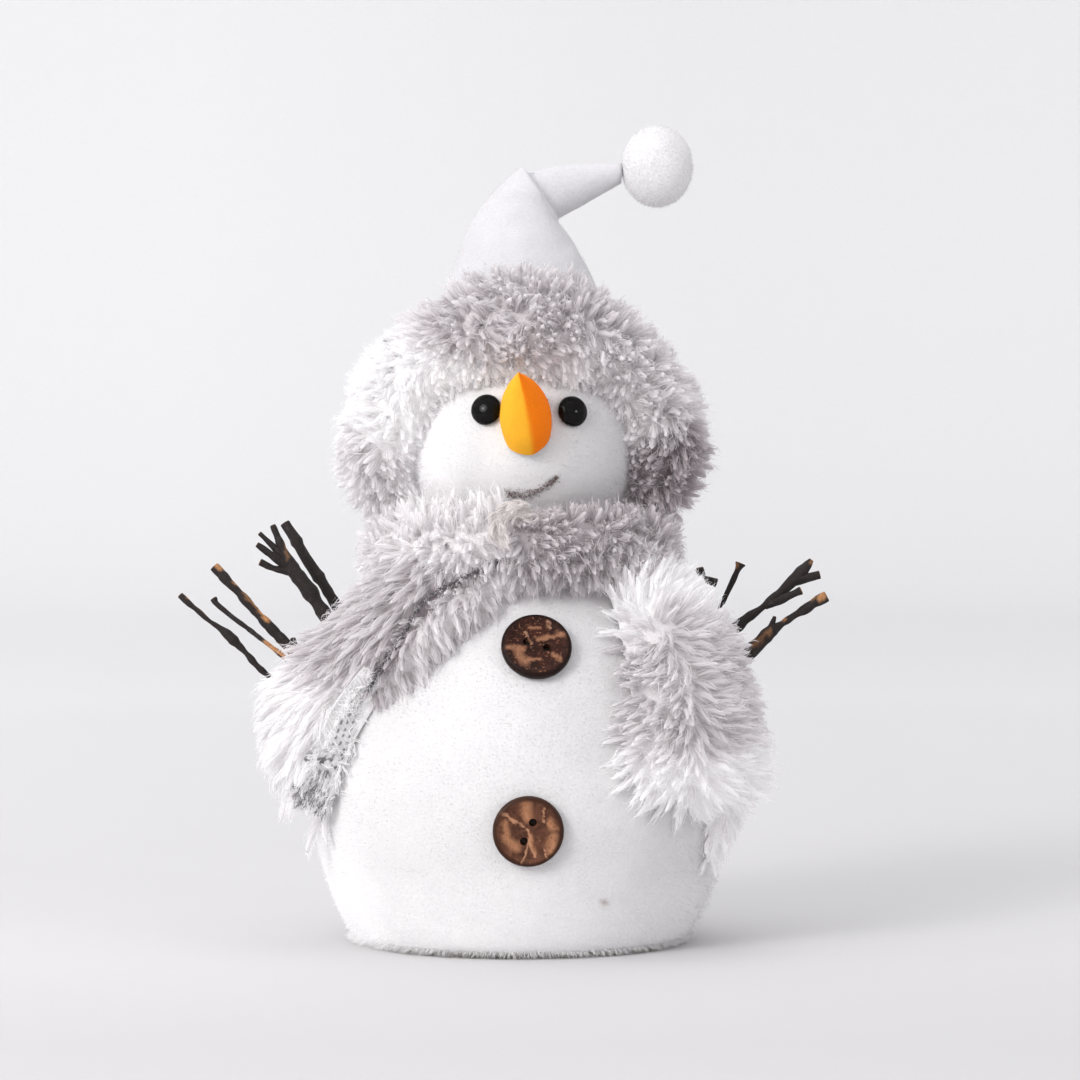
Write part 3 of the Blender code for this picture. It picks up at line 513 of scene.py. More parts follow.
def locks(roots, up, first, last, length, radius, root_tint, tip_tint, strands=14, width=0.12, curl=0.3,
          blunt=1.0, core=0.42):
    """Tufts of pile. Each bends from direction first to last: a soft ridged core, core times the tuft's
    radius thick, under many wavy strands. Returns points, triangles and tints."""
    n = len(roots)
    length, radius = (np.broadcast_to(value, n)[:, None, None] for value in (length, radius))
    first, last, up, base = (value[:, None, None, :] for value in (first, last, up, roots))

    def along_tuft(run):
        bend = first * (run - run**2 / 2)[..., None] + last * (run**2 / 2)[..., None]
        tangent = unit(mix(first, last, run[..., None]))
        side = unit(np.cross(tangent, up + 0.13 * tangent[..., [1, 2, 0]]))
        return base + length[..., None] * bend, tangent, side, np.cross(side, tangent)

    rings, sides = len(CORE_RUN), CORE_SIDES
    twist = rng.normal(0.0, 0.8, (n, 1, 1))
    run = np.broadcast_to(CORE_RUN[None, :, None], (n, rings, 1))
    middle, tangent, side, rise = along_tuft(run)
    angle = 2 * np.pi * np.arange(sides) / sides + rng.uniform(0.0, 2 * np.pi, (n, 1, 1)) + twist * run
    ridge = 1.0 + 0.16 * (-1.0) ** np.arange(sides) + rng.normal(0.0, 0.10, (n, 1, sides))
    full = mix(CORE_POINTED, CORE_BLUNT, min(blunt - 1.0, 1.0))
    reach = (core * radius * full[None, :, None] * ridge)[..., None]
    ring = middle + (np.cos(angle)[..., None] * side + np.sin(angle)[..., None] * rise) * reach
    tip = middle[:, -1] + 0.10 * length * tangent[:, -1]
    verts = np.concatenate([ring.reshape(n, -1, 3), tip], 1)
    faces = np.concatenate([grid_tris(rings, sides, wrap_columns=True),
                            fan((rings - 1) * sides, sides, rings * sides)])
    tris = ((np.arange(n) * (rings * sides + 1))[:, None, None] + faces[None]).reshape(-1, 3)
    share = np.append(np.repeat(CORE_RUN, sides), 1.0)[None, :, None]
    # The core's sunken sides get a painted shade, 5% darker.
    groove_shade = np.append(np.tile(1.0 - 0.05 * (np.arange(sides) % 2), rings), 1.0)[None, :, None]
    tint = mix(root_tint[:, None, :], tip_tint[:, None, :], share) * groove_shade
    tint = tint * rng.uniform(0.95, 1.04, (n, 1, 1))
    made = [(verts.reshape(-1, 3), tris, np.clip(tint, 0.0, 1.0).reshape(-1, 3))] if core else []

    reach = rng.uniform(0.6, 1.15, (n, strands, 1))
    t = STRAND_RUN * np.ones((n, strands, 1))
    middle, tangent, side, rise = along_tuft(t * reach)
    turn = rng.uniform(0.0, 2 * np.pi, (n, strands, 1)) + twist * t
    out = np.cos(turn)[..., None] * side + np.sin(turn)[..., None] * rise
    full = np.array([0.8, 1.0, 0.8 * blunt**0.5, 0.42 * blunt])
    spread = radius * np.sqrt(rng.uniform(0.15, 1.0, (n, strands, 1))) * full
    centre = middle + out * spread[..., None]
    centre = centre + rng.normal(size=(n, strands, 4, 3)) * (radius * curl * STRAND_CURL)[..., None]
    half = width * rng.uniform(0.7, 1.3, (n, strands, 1)) * STRAND_WIDTH
    edge = unit(np.cross(tangent, out)) * half[..., None]
    pairs = np.stack([(centre + edge)[:, :, :-1], (centre - edge)[:, :, :-1]], 3)
    verts = np.concatenate([pairs.reshape(n, strands, -1, 3), centre[:, :, -1:]], 2)
    tris = ((np.arange(n * strands) * 7)[:, None, None] + STRAND_FACES[None]).reshape(-1, 3)
    share = np.append(np.repeat(STRAND_RUN[:-1], 2), STRAND_RUN[-1])[None, None, :, None]
    own = rng.uniform(0.94, 1.05, (n, strands, 1, 1))
    tint = mix(root_tint[:, None, None, :], tip_tint[:, None, None, :], share) * own
    made.append((verts.reshape(-1, 3), tris, np.clip(tint, 0.0, 1.0).reshape(-1, 3)))
    return join(made)


def wisps(p, normal, first, last, loose, length, radius, root_tint, tip_tint):
    """Single strands that stand out of the pile."""
    last = unit(last + jitter(p, loose))
    return locks(p, normal, first, last, length, radius, root_tint, tip_tint, strands=1, core=0.0)


def fibres(roots, direction, bend, length, width, tint):
    """Single short fibres: three triangles each."""
    n = len(roots)
    length, width = np.broadcast_to(length, n)[:, None], np.broadcast_to(width, n)[:, None]
    side = unit(np.cross(direction, rng.normal(size=(n, 3)))) * width
    mid = roots + direction * length * 0.55
    tip = roots + direction * length * 0.85 + bend * length * 0.4
    verts = np.stack([roots - side, roots + side, mid - side * 0.7, mid + side * 0.7, tip], 1)
    base = (np.arange(n) * 5)[:, None, None]
    tris = (base + np.array([(0, 1, 3), (0, 3, 2), (2, 3, 4)])[None]).reshape(-1, 3)
    return verts.reshape(-1, 3), tris, np.repeat(tint, 5, 0)


TRIED = 3.2  # places tried for each one that a scatter may keep
CORE_SIDES, CORE_RUN = 6, np.array([0.0, 0.42, 0.82])
CORE_POINTED, CORE_BLUNT = np.array([0.8, 1.0, 0.5]), np.array([0.8, 1.05, 0.75])
STRAND_RUN, STRAND_CURL = np.array([0.0, 0.45, 0.8, 1.0]), np.array([0.0, 0.6, 1.0, 1.2])
STRAND_WIDTH = np.array([1.0, 1.0, 0.8, 0.0])
STRAND_FACES = np.array([(0, 1, 3), (0, 3, 2), (2, 3, 5), (2, 5, 4), (4, 5, 6)])
WHITE_TIP, WHITE_ROOT = np.array([0.94, 0.933, 0.94]), np.array([0.93, 0.92, 0.925])
GREY_TIP, GREY_ROOT = np.array([0.79, 0.755, 0.772]), np.array([0.49, 0.45, 0.465])
CREAM = np.array([0.87, 0.835, 0.825])


def shade(white, grey, amount):
    """White at amount 0, grey at 1 and darker above it."""
    return white * (grey / white) ** np.asarray(amount)[:, None]


def root_colour(grey):
    return shade(WHITE_ROOT, GREY_ROOT, grey)


def tip_colour(grey):
    return shade(WHITE_TIP, GREY_TIP, grey)


def fur_tints(grey, p):
    """Root and tip tints of tufts that are white at grey 0 and grey at 1."""
    own = grey + 0.22 * value_noise(p, 3.0, 5) * (grey > 0.05) + rng.normal(0, 0.07, len(p))
    own = np.clip(own, 0.0, 2.2)
    return root_colour(own), tip_colour(own)


def patch(p, centre, radii, soft=0.35):
    """1 in a soft-edged oval patch seen from the front, 0 outside it."""
    wobble = 0.28 * value_noise(p, 9.0, 3)
    far = np.hypot((p[:, 0] - centre[0]) / radii[0], (p[:, 2] - centre[1]) / radii[1]) + wobble
    return 1.0 - smooth(1.0 - soft, 1.0 + soft, far)


def behind(p):
    """How far round the back a point is, from 0 to 1, and the grey patches there."""
    return smooth(-4.0, 14.0, p[:, 1]), smooth(-0.05, 0.35, value_noise(p, 34.0, 8))


def make_fur(name, groups):
    """One piece of many locks."""
    tri_mesh(name, *join(groups), slot="fur", material=FUR)


def make_fibres(name, slot, points):
    tri_mesh(name, *points, slot=slot, material=FUZZ)


# ---------------------------------------------------------------- body and head
BODY_RINGS, BODY_SIDES = 84, 150
FOOT = np.array([(44.0, 0.0), (46.2, 0.3), (48.2, 0.9), (50.0, 2.0), (51.0, 3.0)])  # its edge: radius, z
FLOOR_FIBRES = 0.05  # no fibre reaches lower
FOOT_FIBRES = 8000
# The brown of the fibres low round the foot: partly dust, partly painted contact shade.
DUST_AND_SHADE = np.array([0.34, 0.295, 0.25])
FLOCK_TINT, MOUTH_TINT = np.array([0.70, 0.69, 0.695]), np.array([0.085, 0.055, 0.05])
MARK_X, MARK_Z = 25.0, 16.6  # a small grey mark low on the front
FLOCK_WIDTH = 0.085
HEAD_RINGS, HEAD_SIDES = 110, 200
MOUTH = [(-3.4, 134.6, 1.5), (-1.2, 133.9, 1.9), (1.5, 133.9, 1.8), (4.2, 134.6, 1.4), (7.0, 136.0, 1.1),
         (9.0, 137.6, 1.3), (10.9, 139.2, 0.9)]  # x, z and how thick the smile is
MOUTH_FIBRES = 620


def body_flock_tint(p):
    """The flocking's colour, with painted light low down and at the left, painted shade high on the right, and
    the small grey mark.
    """
    x = p[:, 0] / np.maximum(np.hypot(p[:, 0], p[:, 1]), 1.0)
    painted_light_and_shade = 0.12 * smooth(0.6, 0.95, -x) + 0.14 * smooth(34.0, 4.0, p[:, 2])
    painted_light_and_shade -= 0.06 * smooth(-0.1, 0.35, x) * smooth(50.0, 66.0, p[:, 2])
    mark = np.exp(-((p[:, 0] - MARK_X) ** 2 + (p[:, 2] - MARK_Z) ** 2) / 0.9) * (p[:, 1] < 0)
    return mix(FLOCK_TINT + painted_light_and_shade[:, None], 3.0 * MOUTH_TINT, 0.8 * mark[:, None])


def head_flock_tint(p):
    x = (p[:, 0] - HEAD[0]) / HEAD_RADIUS
    # Painted light on the face's left side and a little left of its middle; slightly darker overall.
    painted_light_and_shade = 0.21 * smooth(0.35, 0.85, -x) + 0.10 * np.exp(-(((x + 0.12) / 0.3) ** 2)) - 0.03
    return FLOCK_TINT + painted_light_and_shade[:, None]


def grain(tint):
    return tint * rng.uniform(0.97, 1.03, (len(tint), 1))


def make_body():
    z = mix(NECK_Z, FOOT[-1, 1], np.linspace(0, 1, BODY_RINGS))
    profile = [(0.0, NECK_Z), *zip(body_radius(z), z, strict=True), *FOOT[-2::-1], (0.0, 0.0)]
    verts, tris = lathe(profile, BODY_SIDES)
    soft = (value_noise(verts, 16.0, 2) * 0.35 + value_noise(verts, 6.0, 4) * 0.12)
    verts = verts + unit(verts * LEVEL) * (soft * smooth(0.5, 4.0, verts[:, 2]))[:, None]
    body = tri_mesh("body_flocked", verts, tris, body_flock_tint(verts), "body", FLOCK)
    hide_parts("body")


def make_body_flock():
    """Loose fibres of flock, longer where the body is worn, and a fringe of them round its foot."""
    z = np.linspace(0.6, 108.0, 90)
    grid = on_body(np.linspace(0.0, 360.0, 181)[None, :], z[:, None])
    grid[..., :2] *= (0.90 + 0.10 * np.clip(z / 4.0, 0.0, 1.0) ** 0.6)[:, None, None]
    p, normal, *_ = scatter(grid, 1.15, from_axis)
    low = smooth(9.0, 0.0, p[:, 2])
    direction = unit(normal + 0.75 * noise_vector(p, 5.0, 3) + 0.45 * rng.normal(size=p.shape) * (1, 1, 0.8))
    direction[:, 2] = np.where(p[:, 2] < 4, np.maximum(direction[:, 2], -0.1), direction[:, 2])
    direction = unit(direction)
    worn = smooth(0.45, 0.85, p[:, 0] / np.hypot(p[:, 0], p[:, 1])) * smooth(48.0, 32.0, p[:, 2])
    length = rng.uniform(0.7, 1.5, len(p)) * (1.0 + 0.4 * low + 1.1 * worn)
    above_floor = p[:, 2] / np.maximum(-direction[:, 2], 0.05)
    length = np.minimum(length, np.where(direction[:, 2] < 0, above_floor, 9.0))
    loose = fibres(p - normal * 0.1, direction, unit(rng.normal(size=p.shape)), length, FLOCK_WIDTH,
                   grain(body_flock_tint(p)))
    a, rise = rng.uniform(0.0, 360.0, FOOT_FIBRES), rng.uniform(0.2, 2.6, FOOT_FIBRES)
    edge = np.interp(rise, FOOT[:, 1], FOOT[:, 0]) - 0.1
    foot = heading(a) * edge[:, None] + np.stack([0 * a, 0 * a, rise], 1)
    way = unit(heading(a) + rng.normal(size=foot.shape) * (0.3, 0.3, 0.2) + (0.0, 0.0, -0.7))
    # Brown fibres near the floor, fewer towards the lit left: partly dust, partly painted contact shade.
    dust_and_shade = rng.random(len(a)) < 0.42 * smooth(-0.9, -0.3, foot[:, 0] / 50.0) * smooth(2.2, 1.2, rise)
    foot_tint = np.where(dust_and_shade[:, None], DUST_AND_SHADE, grain(body_flock_tint(foot)))
    fringe = fibres(foot, way, unit(way + 0.1 * UP), rng.uniform(1.2, 2.6, len(a)), 0.10, foot_tint)
    points = join([loose, fringe])
    points[0][:, 2] = np.maximum(points[0][:, 2], FLOOR_FIBRES)
    make_fibres("body_flock_fibres", "body", points)


def make_head():
    foot = NECK_Z + GAP - HEAD[2]
    angles = np.linspace(math.pi / 2, math.asin(foot / HEAD_RADIUS), HEAD_RINGS)
    profile = [(HEAD_RADIUS * math.cos(a), HEAD_RADIUS * math.sin(a)) for a in angles] + [(0.0, foot)]
    verts, tris = lathe(profile, HEAD_SIDES)
    soft = value_noise(verts, 12.0, 2) * 0.25
    verts = verts * (1.0 + soft / HEAD_RADIUS)[:, None] + HEAD
    head = tri_mesh("head_flocked", verts, tris, head_flock_tint(verts), "head", FLOCK)
    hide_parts("head")


def make_head_flock():
    way = heading(np.linspace(-115.0, 115.0, 90)[None, :], np.linspace(-62.0, 62.0, 60)[:, None])
    p, normal, *_ = scatter(HEAD + way * HEAD_RADIUS, 0.8, lambda q: HEAD)
    direction = unit(normal + 0.8 * noise_vector(p, 4.0, 6) + 0.5 * rng.normal(size=p.shape))
    tint = grain(head_flock_tint(p))
    rim = smooth(0.80, 0.45, normal @ np.array([0.0, -1.0, 0.0]))
    length = rng.uniform(0.7, 1.4, len(p)) * (1.0 + 0.9 * rim)
    make_fibres("head_flock_fibres", "head", fibres(
        p - normal * 0.1, direction, unit(rng.normal(size=p.shape)), length, FLOCK_WIDTH, tint))


def make_mouth():
    """The smile: dark brown flock rubbed into the white, thick at one end."""
    line = spline(MOUTH, 12)
    x, z, thick = line[rng.integers(0, len(line), MOUTH_FIBRES)].T
    x = x + rng.normal(size=len(x)) * thick * 0.45 + rng.uniform(-0.3, 0.3, len(x))
    z = z + rng.normal(size=len(x)) * thick * 0.45
    depth = np.sqrt(np.maximum((HEAD_RADIUS + 0.35) ** 2 - (x - HEAD[0]) ** 2 - (z - HEAD[2]) ** 2, 1.0))
    p = np.stack([x, -depth, z], 1)
    lie = unit(unit(p - HEAD) * 0.5 + rng.normal(size=p.shape) * 0.8)
    tint = MOUTH_TINT * rng.uniform(0.7, 3.6, (len(p), 1))
    make_fibres("mouth_flock", "head", fibres(p, lie, lie, rng.uniform(0.3, 0.8, len(p)), 0.095, tint))


# ---------------------------------------------------------------- face
EYES = {"eye_left": (-17.0, 14.1), "eye_right": (25.0, 13.3)}  # azimuth and elevation on the head
EYE_RADIUS, EYE_HEIGHT = 4.6, 3.7
LASHES = 46
NOSE_LENGTH, NOSE_RADIUS, NOSE_WIDEST, NOSE_RISE = 29.6, 7.5, 0.2, 1.6
NOSE_ROOT, NOSE_WAY = (3.0, 3.5), (-6.0, 36.0)  # azimuth and elevation: on the head, and where it points
NOSE_POINT, NOSE_DROOP, NOSE_CREASE = 0.3, 0.14, 0.06  # finer near the tip, fuller below, and at the fold
NOSE_CREASE_TURN = 0.25  # how far from straight below the fold is, in radians
NOSE_ROWS, NOSE_SIDES = 44, 72
NOSE_SHADED, NOSE_LIT = np.array([1.0, 0.225, 0.004]), np.array([1.0, 0.48, 0.03])
NAP_SHADED, NAP_LIT = np.array([1.0, 0.24, 0.005]), np.array([1.0, 0.50, 0.03])


def facing(normal):
    return Vector(normal).to_track_quat("Z", "Y").to_matrix()


def make_eyes():
    steps = np.linspace(0.0, math.pi / 2, 22)
    dome = [(EYE_RADIUS * math.sin(a), EYE_HEIGHT * (0.25 + 0.75 * math.cos(a))) for a in steps]
    verts, tris = lathe([*dome, (EYE_RADIUS - 0.3, 0.0), (0.0, 0.0)], 56)
    for name, direction in EYES.items():
        normal = heading(*direction)
        turned = np.array(facing(normal))
        centre = HEAD + normal * (HEAD_RADIUS + GAP)
        eye = tri_mesh(f"{name}_bead", verts @ turned.T + centre, tris, None, "eyes", BEAD)
        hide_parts(name)
        a = rng.uniform(-2.6, -0.5, LASHES)
        ring = np.stack([np.cos(a), np.sin(a), 0.0 * a], 1)
        rim = ring * (EYE_RADIUS + 0.1) @ turned.T + centre - normal * 0.2
        lean = unit(normal * 0.8 + (-ring @ turned.T) * 0.55 + jitter(rim, 0.3))
        make_fibres(f"{name}_lashes", "head", fibres(
            rim, lean, lean, rng.uniform(1.0, 2.4, LASHES), 0.06, np.tile(FLOCK_TINT, (LASHES, 1))))


def make_nose():
    """A felt cone folded along its middle, rounded below, with its tip drawn out."""
    root, along = HEAD + heading(*NOSE_ROOT) * (HEAD_RADIUS - 2.0), heading(*NOSE_WAY)
    across = unit(np.cross(along, UP))
    up = np.cross(across, along)
    share = np.linspace(0.0, 0.995, NOSE_ROWS)[:, None]
    centre = root + along * NOSE_LENGTH * share + up * NOSE_RISE * np.sin(np.pi * share)
    a = np.linspace(0.0, 2 * np.pi, NOSE_SIDES, endpoint=False)[None, :]
    fold = np.abs((a + np.pi / 2 + NOSE_CREASE_TURN + np.pi) % (2 * np.pi) - np.pi)
    off = np.abs((share - NOSE_WIDEST) / (1.0 - NOSE_WIDEST))
    radius = NOSE_RADIUS * (1.0 - off**1.7) * (1.0 - NOSE_POINT * off**4)
    radius = radius * (1.0 + NOSE_DROOP * np.maximum(0.0, -np.sin(a)) ** 2)
    radius = radius * (1.0 + NOSE_CREASE * np.exp(-fold / 0.22))
    out = np.cos(a)[..., None] * across + np.sin(a)[..., None] * up
    grid = centre[:, None, :] + radius[..., None] * out
    grid = grid + 0.12 * noise_vector(grid, 3.0, 4)
    verts, tris = grid.reshape(-1, 3), grid_tris(NOSE_ROWS, NOSE_SIDES, wrap_columns=True)
    sunny = smooth(-0.40, -0.12, np.cos(a) + 0.0 * share).reshape(-1, 1)
    tris = outward(verts, tris, verts.mean(0))
    nose = tri_mesh("nose_felt", verts, tris, mix(NOSE_SHADED, NOSE_LIT, sunny), "nose", ORANGE_FELT)
    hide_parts("nose")
    p, normal, *_ = scatter(np.concatenate([grid, grid[:, :1]], 1), 0.75, lambda q: verts.mean(0))
    direction = unit(normal + rng.normal(size=p.shape) * 0.9)
    lit = smooth(4.9, 3.5, p[:, 0] - 0.04 * (p[:, 2] - 145.0))[:, None]
    tint = mix(NAP_SHADED, NAP_LIT, lit) * rng.uniform(0.85, 1.0, (len(p), 1))
    length = rng.uniform(0.25, 0.6, len(p))
    make_fibres("nose_nap", "nose", fibres(p, direction, direction, length, 0.035, tint))


# ---------------------------------------------------------------- buttons
BUTTONS = {  # azimuth, z, turn, material
    "button_upper": (5.5, 89.7, UPPER_TURN, SHELL_UPPER),
    "button_lower": (2.4, 38.5, LOWER_TURN, SHELL_LOWER),
}
BUTTON_RADIUS, BUTTON_THICKNESS, BUTTON_DISH = 10.2, 2.8, 0.86
HOLE_RADIUS, HOLE_MOUTH, HOLES = 1.15, 1.45, {"a": -3.0, "b": 3.0}  # radii, and x of each hole
GLUE_DAB = [(0.0, 0.62), (0.6, 0.58), (1.1, 0.75), (1.1, 0.05), (0.0, 0.05)]


def turned_solid(name, profile, sides, x=0.0):
    """A turned form whose points are welded, for cutting."""
    verts, tris = lathe(profile, sides)
    solid = tri_mesh(name, verts + (x, 0.0, 0.0), tris)
    bm = bmesh.new()
    bm.from_mesh(solid.data)
    bmesh.ops.remove_doubles(bm, verts=bm.verts, dist=1e-6)
    bm.to_mesh(solid.data)
    bm.free()
    return solid


def make_button(name, azimuth, z, turn, material):
    r, t, dish = BUTTON_RADIUS, BUTTON_THICKNESS, BUTTON_THICKNESS * BUTTON_DISH
    top = [(0.0, dish), (0.66 * r, dish), (0.74 * r, 0.88 * t), (0.80 * r, 0.95 * t), (0.85 * r, t)]
    side = [(0.90 * r + 0.10 * r * math.sin(a), 0.55 * t + 0.45 * t * math.cos(a))
            for a in np.linspace(0.0, np.pi / 2, 7)]
    foot = [(r, 0.30 * t), (0.985 * r, 0.1 * t), (0.95 * r, 0.0), (0.0, 0.0)]
    disc = turned_solid(f"{name}_shell", [*top, *side, *foot], 96)
    bore = [(0.0, 5.0), (HOLE_MOUTH, 5.0), (HOLE_RADIUS, dish - 0.25), (HOLE_RADIUS, -2.0), (0.0, -2.0)]
    drills = [turned_solid(f"{name}_drill", bore, 28, x) for x in HOLES.values()]
    for drill in drills:
        cut = disc.modifiers.new("Hole", "BOOLEAN")
        cut.operation, cut.object = "DIFFERENCE", drill
    bpy.context.view_layer.update()
    cut_mesh = bpy.data.meshes.new_from_object(disc.evaluated_get(bpy.context.evaluated_depsgraph_get()))
    disc.modifiers.clear()
    disc.data = cut_mesh
    for drill in drills:
        bpy.data.objects.remove(drill)
    disc.data.materials.clear()
    disc.data.materials.append(material)
    disc.data.shade_smooth()
    disc.data.set_sharp_from_angle(angle=math.radians(38))
    normal = body_normal(np.array(azimuth), np.array(z))
    centre = Vector(on_body(azimuth, z) + normal * GAP) * MM
    turned = Matrix.Rotation(math.radians(turn), 4, "Z")
    disc.matrix_world = Matrix.Translation(centre) @ facing(normal).to_4x4() @ turned
    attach(disc, "root")
    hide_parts(name)
    for hole, x in HOLES.items():
        verts, tris = lathe(GLUE_DAB, 20)
        dab = tri_mesh(f"{name}_glue_{hole}", verts + (x, 0.0, 0.0), tris, None, "buttons", GLUE)
        dab.matrix_world = disc.matrix_world


# ---------------------------------------------------------------- hat
FELT_THICKNESS = 1.3
HAT_SIDES, HAT_STEPS = 96, 7
# Tilt, height above the head's middle, and radius.
HAT_CAP = [(35.0, 9.5, 35.4), (26.0, 18.0, 34.2), (17.0, 26.0, 31.7), (10.0, 33.0, 28.5)]
HAT_CONE = [  # left and right edge (x, z), half depth, y
    ((-21.9, 196.5), (23.2, 195.0), 21.0, 1.0), ((-17.8, 207.0), (19.0, 204.5), 17.0, 1.0),
    ((-13.4, 217.0), (14.0, 211.6), 12.8, 1.0), ((-6.8, 225.6), (12.4, 214.0), 10.0, 1.2),
    ((0.0, 231.6), (11.6, 215.5), 8.0, 1.6), ((1.5, 230.6), (11.8, 216.3), 6.4, 3.6),
    ((3.6, 230.5), (12.4, 216.9), 6.2, 4.6), ((10.8, 232.3), (16.6, 219.4), 5.5, 5.4),
    ((19.8, 232.9), (22.6, 222.8), 4.7, 6.0), ((30.5, 233.3), (30.5, 227.2), 3.0, 6.5),
]
HAT_LINED = 6  # sections that the inside of the felt reaches up to
HAT_AXIS = np.array([4.0, 2.0, 0.0])
NAP_FROM = 18  # the nap starts this many rows up, where the fur ends
POMPOM, POMPOM_RADII = np.array([41.2, 6.5, 232.3]), np.array([10.6, 10.6, 12.2])
POMPOM_GROUND, POMPOM_TINT = (0.68, 0.67, 0.685), np.array([0.74, 0.73, 0.745])


def hat_skin(inset, sections):
    """The hat's surface: its sections are a centre, a half axis in the picture plane and one in depth."""
    rows = []
    for tilt, distance, radius in HAT_CAP:
        a = math.radians(tilt)
        centre = HEAD + distance * np.array([0.0, math.sin(a), math.cos(a)])
        deep = np.array([0.0, math.cos(a), -math.sin(a)]) * (radius - inset)
        rows.append([*centre, radius - inset, 0.0, 0.0, *deep])
    for (lx, lz), (rx, rz), depth, y in HAT_CONE:
        half = np.array([rx - lx, 0.0, rz - lz]) / 2
        half *= 1.0 - inset / np.linalg.norm(half)
        rows.append([(lx + rx) / 2, y, (lz + rz) / 2, *half, 0.0, depth - inset, 0.0])
    a = np.linspace(0.0, 2 * np.pi, HAT_SIDES, endpoint=False)[None, :, None]
    r = spline(rows[:sections], HAT_STEPS)[:, None, :]
    return r[..., 0:3] + np.cos(a) * r[..., 3:6] + np.sin(a) * r[..., 6:9]


def make_hat():
    inner, outer = hat_skin(FELT_THICKNESS, HAT_LINED)[::-1], hat_skin(0.0, None)
    grid = np.concatenate([inner, outer])
    p = grid.reshape(-1, 3)
    high = smooth(190.0, 205.0, p[:, 2])
    crumple = 0.55 * value_noise(p * (1.0, 1.0, 1.8), 9.0, 3) + 0.25 * value_noise(p, 4.5, 8)
    crumple = crumple * (1.0 + 0.9 * smooth(2.0, 8.0, p[:, 0]) * smooth(216.0, 222.0, p[:, 2]))
    p = p + unit(p - (HAT_AXIS + from_axis(p))) * (crumple * high * smooth(34.0, 24.0, p[:, 0]))[:, None]
    closing = fan(len(p) - HAT_SIDES, HAT_SIDES, len(p))
    p = np.concatenate([p, p[-HAT_SIDES:].mean(0, keepdims=True)])
    tris = np.concatenate([grid_tris(len(grid), HAT_SIDES, wrap_columns=True), closing])
    hat = tri_mesh("hat_felt", p, outward(p, tris, np.array([0.0, 5.0, 180.0])), None, "hat", WHITE_FELT)
    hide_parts("hat")
    nap = outer[NAP_FROM:]
    p, normal, *_ = scatter(np.concatenate([nap, nap[:, :1]], 1), 1.0, lambda q: HAT_AXIS + from_axis(q))
    direction = unit(normal * 0.6 + rng.normal(size=p.shape) * 0.9)
    make_fibres("hat_nap", "hat", fibres(
        p + normal * 0.1, direction, direction, rng.uniform(0.3, 0.8, len(p)), 0.04,
        np.tile([0.62, 0.61, 0.63], (len(p), 1))))


def make_pompom():
    verts, tris = lathe([(math.sin(a), math.cos(a)) for a in np.linspace(0, math.pi, 40)], 64)
    ball = verts * POMPOM_RADII * (1.0 + 0.02 * value_noise(verts * 10, 4.0))[:, None] + POMPOM
    core = tri_mesh("pompom_ball", ball, tris, POMPOM_GROUND, "pompom", FUR_BASE)
    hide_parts("pompom")
    way = heading(np.linspace(0.0, 360.0, 80)[None, :], np.linspace(-89.0, 89.0, 50)[:, None])
    p, normal, *_ = scatter(POMPOM + way * POMPOM_RADII, 0.62, lambda q: POMPOM)
    lean = unit(normal + 0.3 * noise_vector(p, 3.5, 2) + jitter(p, 0.2))
    tint = POMPOM_TINT * rng.uniform(0.97, 1.0, (len(p), 1))
    make_fibres("pompom_pile", "pompom", fibres(
        p - normal * 0.3, lean, unit(lean + jitter(p, 0.4)), rng.uniform(0.6, 1.05, len(p)), 0.13, tint))


# ---------------------------------------------------------------- the fur trim round the face
# Where it stands back from the face: degrees round the head, how wide, and how many degrees back.
TRIM_WINDOW = [(42.0, 22.0, 9.0), (132.0, 20.0, 4.5), (90.0, 60.0, 3.0)]
TRIM_FRONT, TRIM_BACK = np.array([0.0, -0.545, 0.839]), np.array([0.0, 0.780, -0.625])
TRIM_GROUND, TRIM_CROWN, TRIM_NAPE = 33.0, 57.5, 49.0  # its ground and its tips, from the head's middle
TRIM_SPREAD = 27.0  # half of its width, in degrees
TRIM_PILE, TRIM_TUFT, TRIM_SPACING = 8.2, 1.9, 2.45
TRIM_ROWS, TRIM_COLUMNS = 210, 46
TRIM_GREYS = [  # how grey, and the patch's middle (x, z) and radii
    (0.78, (3.0, 187.0), (31.0, 15.0)), (2.1, (45.0, 136.0), (13.0, 18.0)),
    (0.55, (36.0, 170.0), (18.0, 22.0)), (0.38, (-47.0, 137.0), (13.0, 14.0)),
]


def trim_grid(shrink):
    """The trim's surface, lowered by a distance: round the head and from its face side over to its back."""
    turn = 2 * np.pi * np.linspace(0.0, 1.0, TRIM_ROWS)[:, None]

    def middle(t):
        m = (TRIM_FRONT + TRIM_BACK) / 2 + (TRIM_FRONT - TRIM_BACK) / 2 * np.sin(t)
        return unit(m + np.concatenate([np.cos(t), 0 * t, -0.16 * np.cos(t) ** 2], -1))

    across = unit(np.cross(middle(turn), middle(turn + 0.01) - middle(turn - 0.01)))
    end = np.where(np.sin(turn) > 0, TRIM_CROWN, TRIM_NAPE)
    outer = end + (TRIM_CROWN - end) * np.cos(turn) ** 2 - 4.0 * np.sin(2 * turn) ** 2 - shrink
    v = np.linspace(0.0, 1.0, TRIM_COLUMNS)[None, :]
    back = sum(far * np.exp(-(((np.degrees(turn) - at) / wide) ** 2)) for at, wide, far in TRIM_WINDOW)
    spread = np.radians(TRIM_SPREAD - back * (v < 0.5)) * np.cos(np.pi * v)
    height = TRIM_GROUND + (outer - TRIM_GROUND) * np.sin(np.pi * v) ** 0.62
    middle_way, across = middle(turn)[:, None, :], across[:, None, :]
    ray = middle_way * np.cos(spread)[..., None] + across * np.sin(spread)[..., None]
    return HEAD + ray * height[..., None]


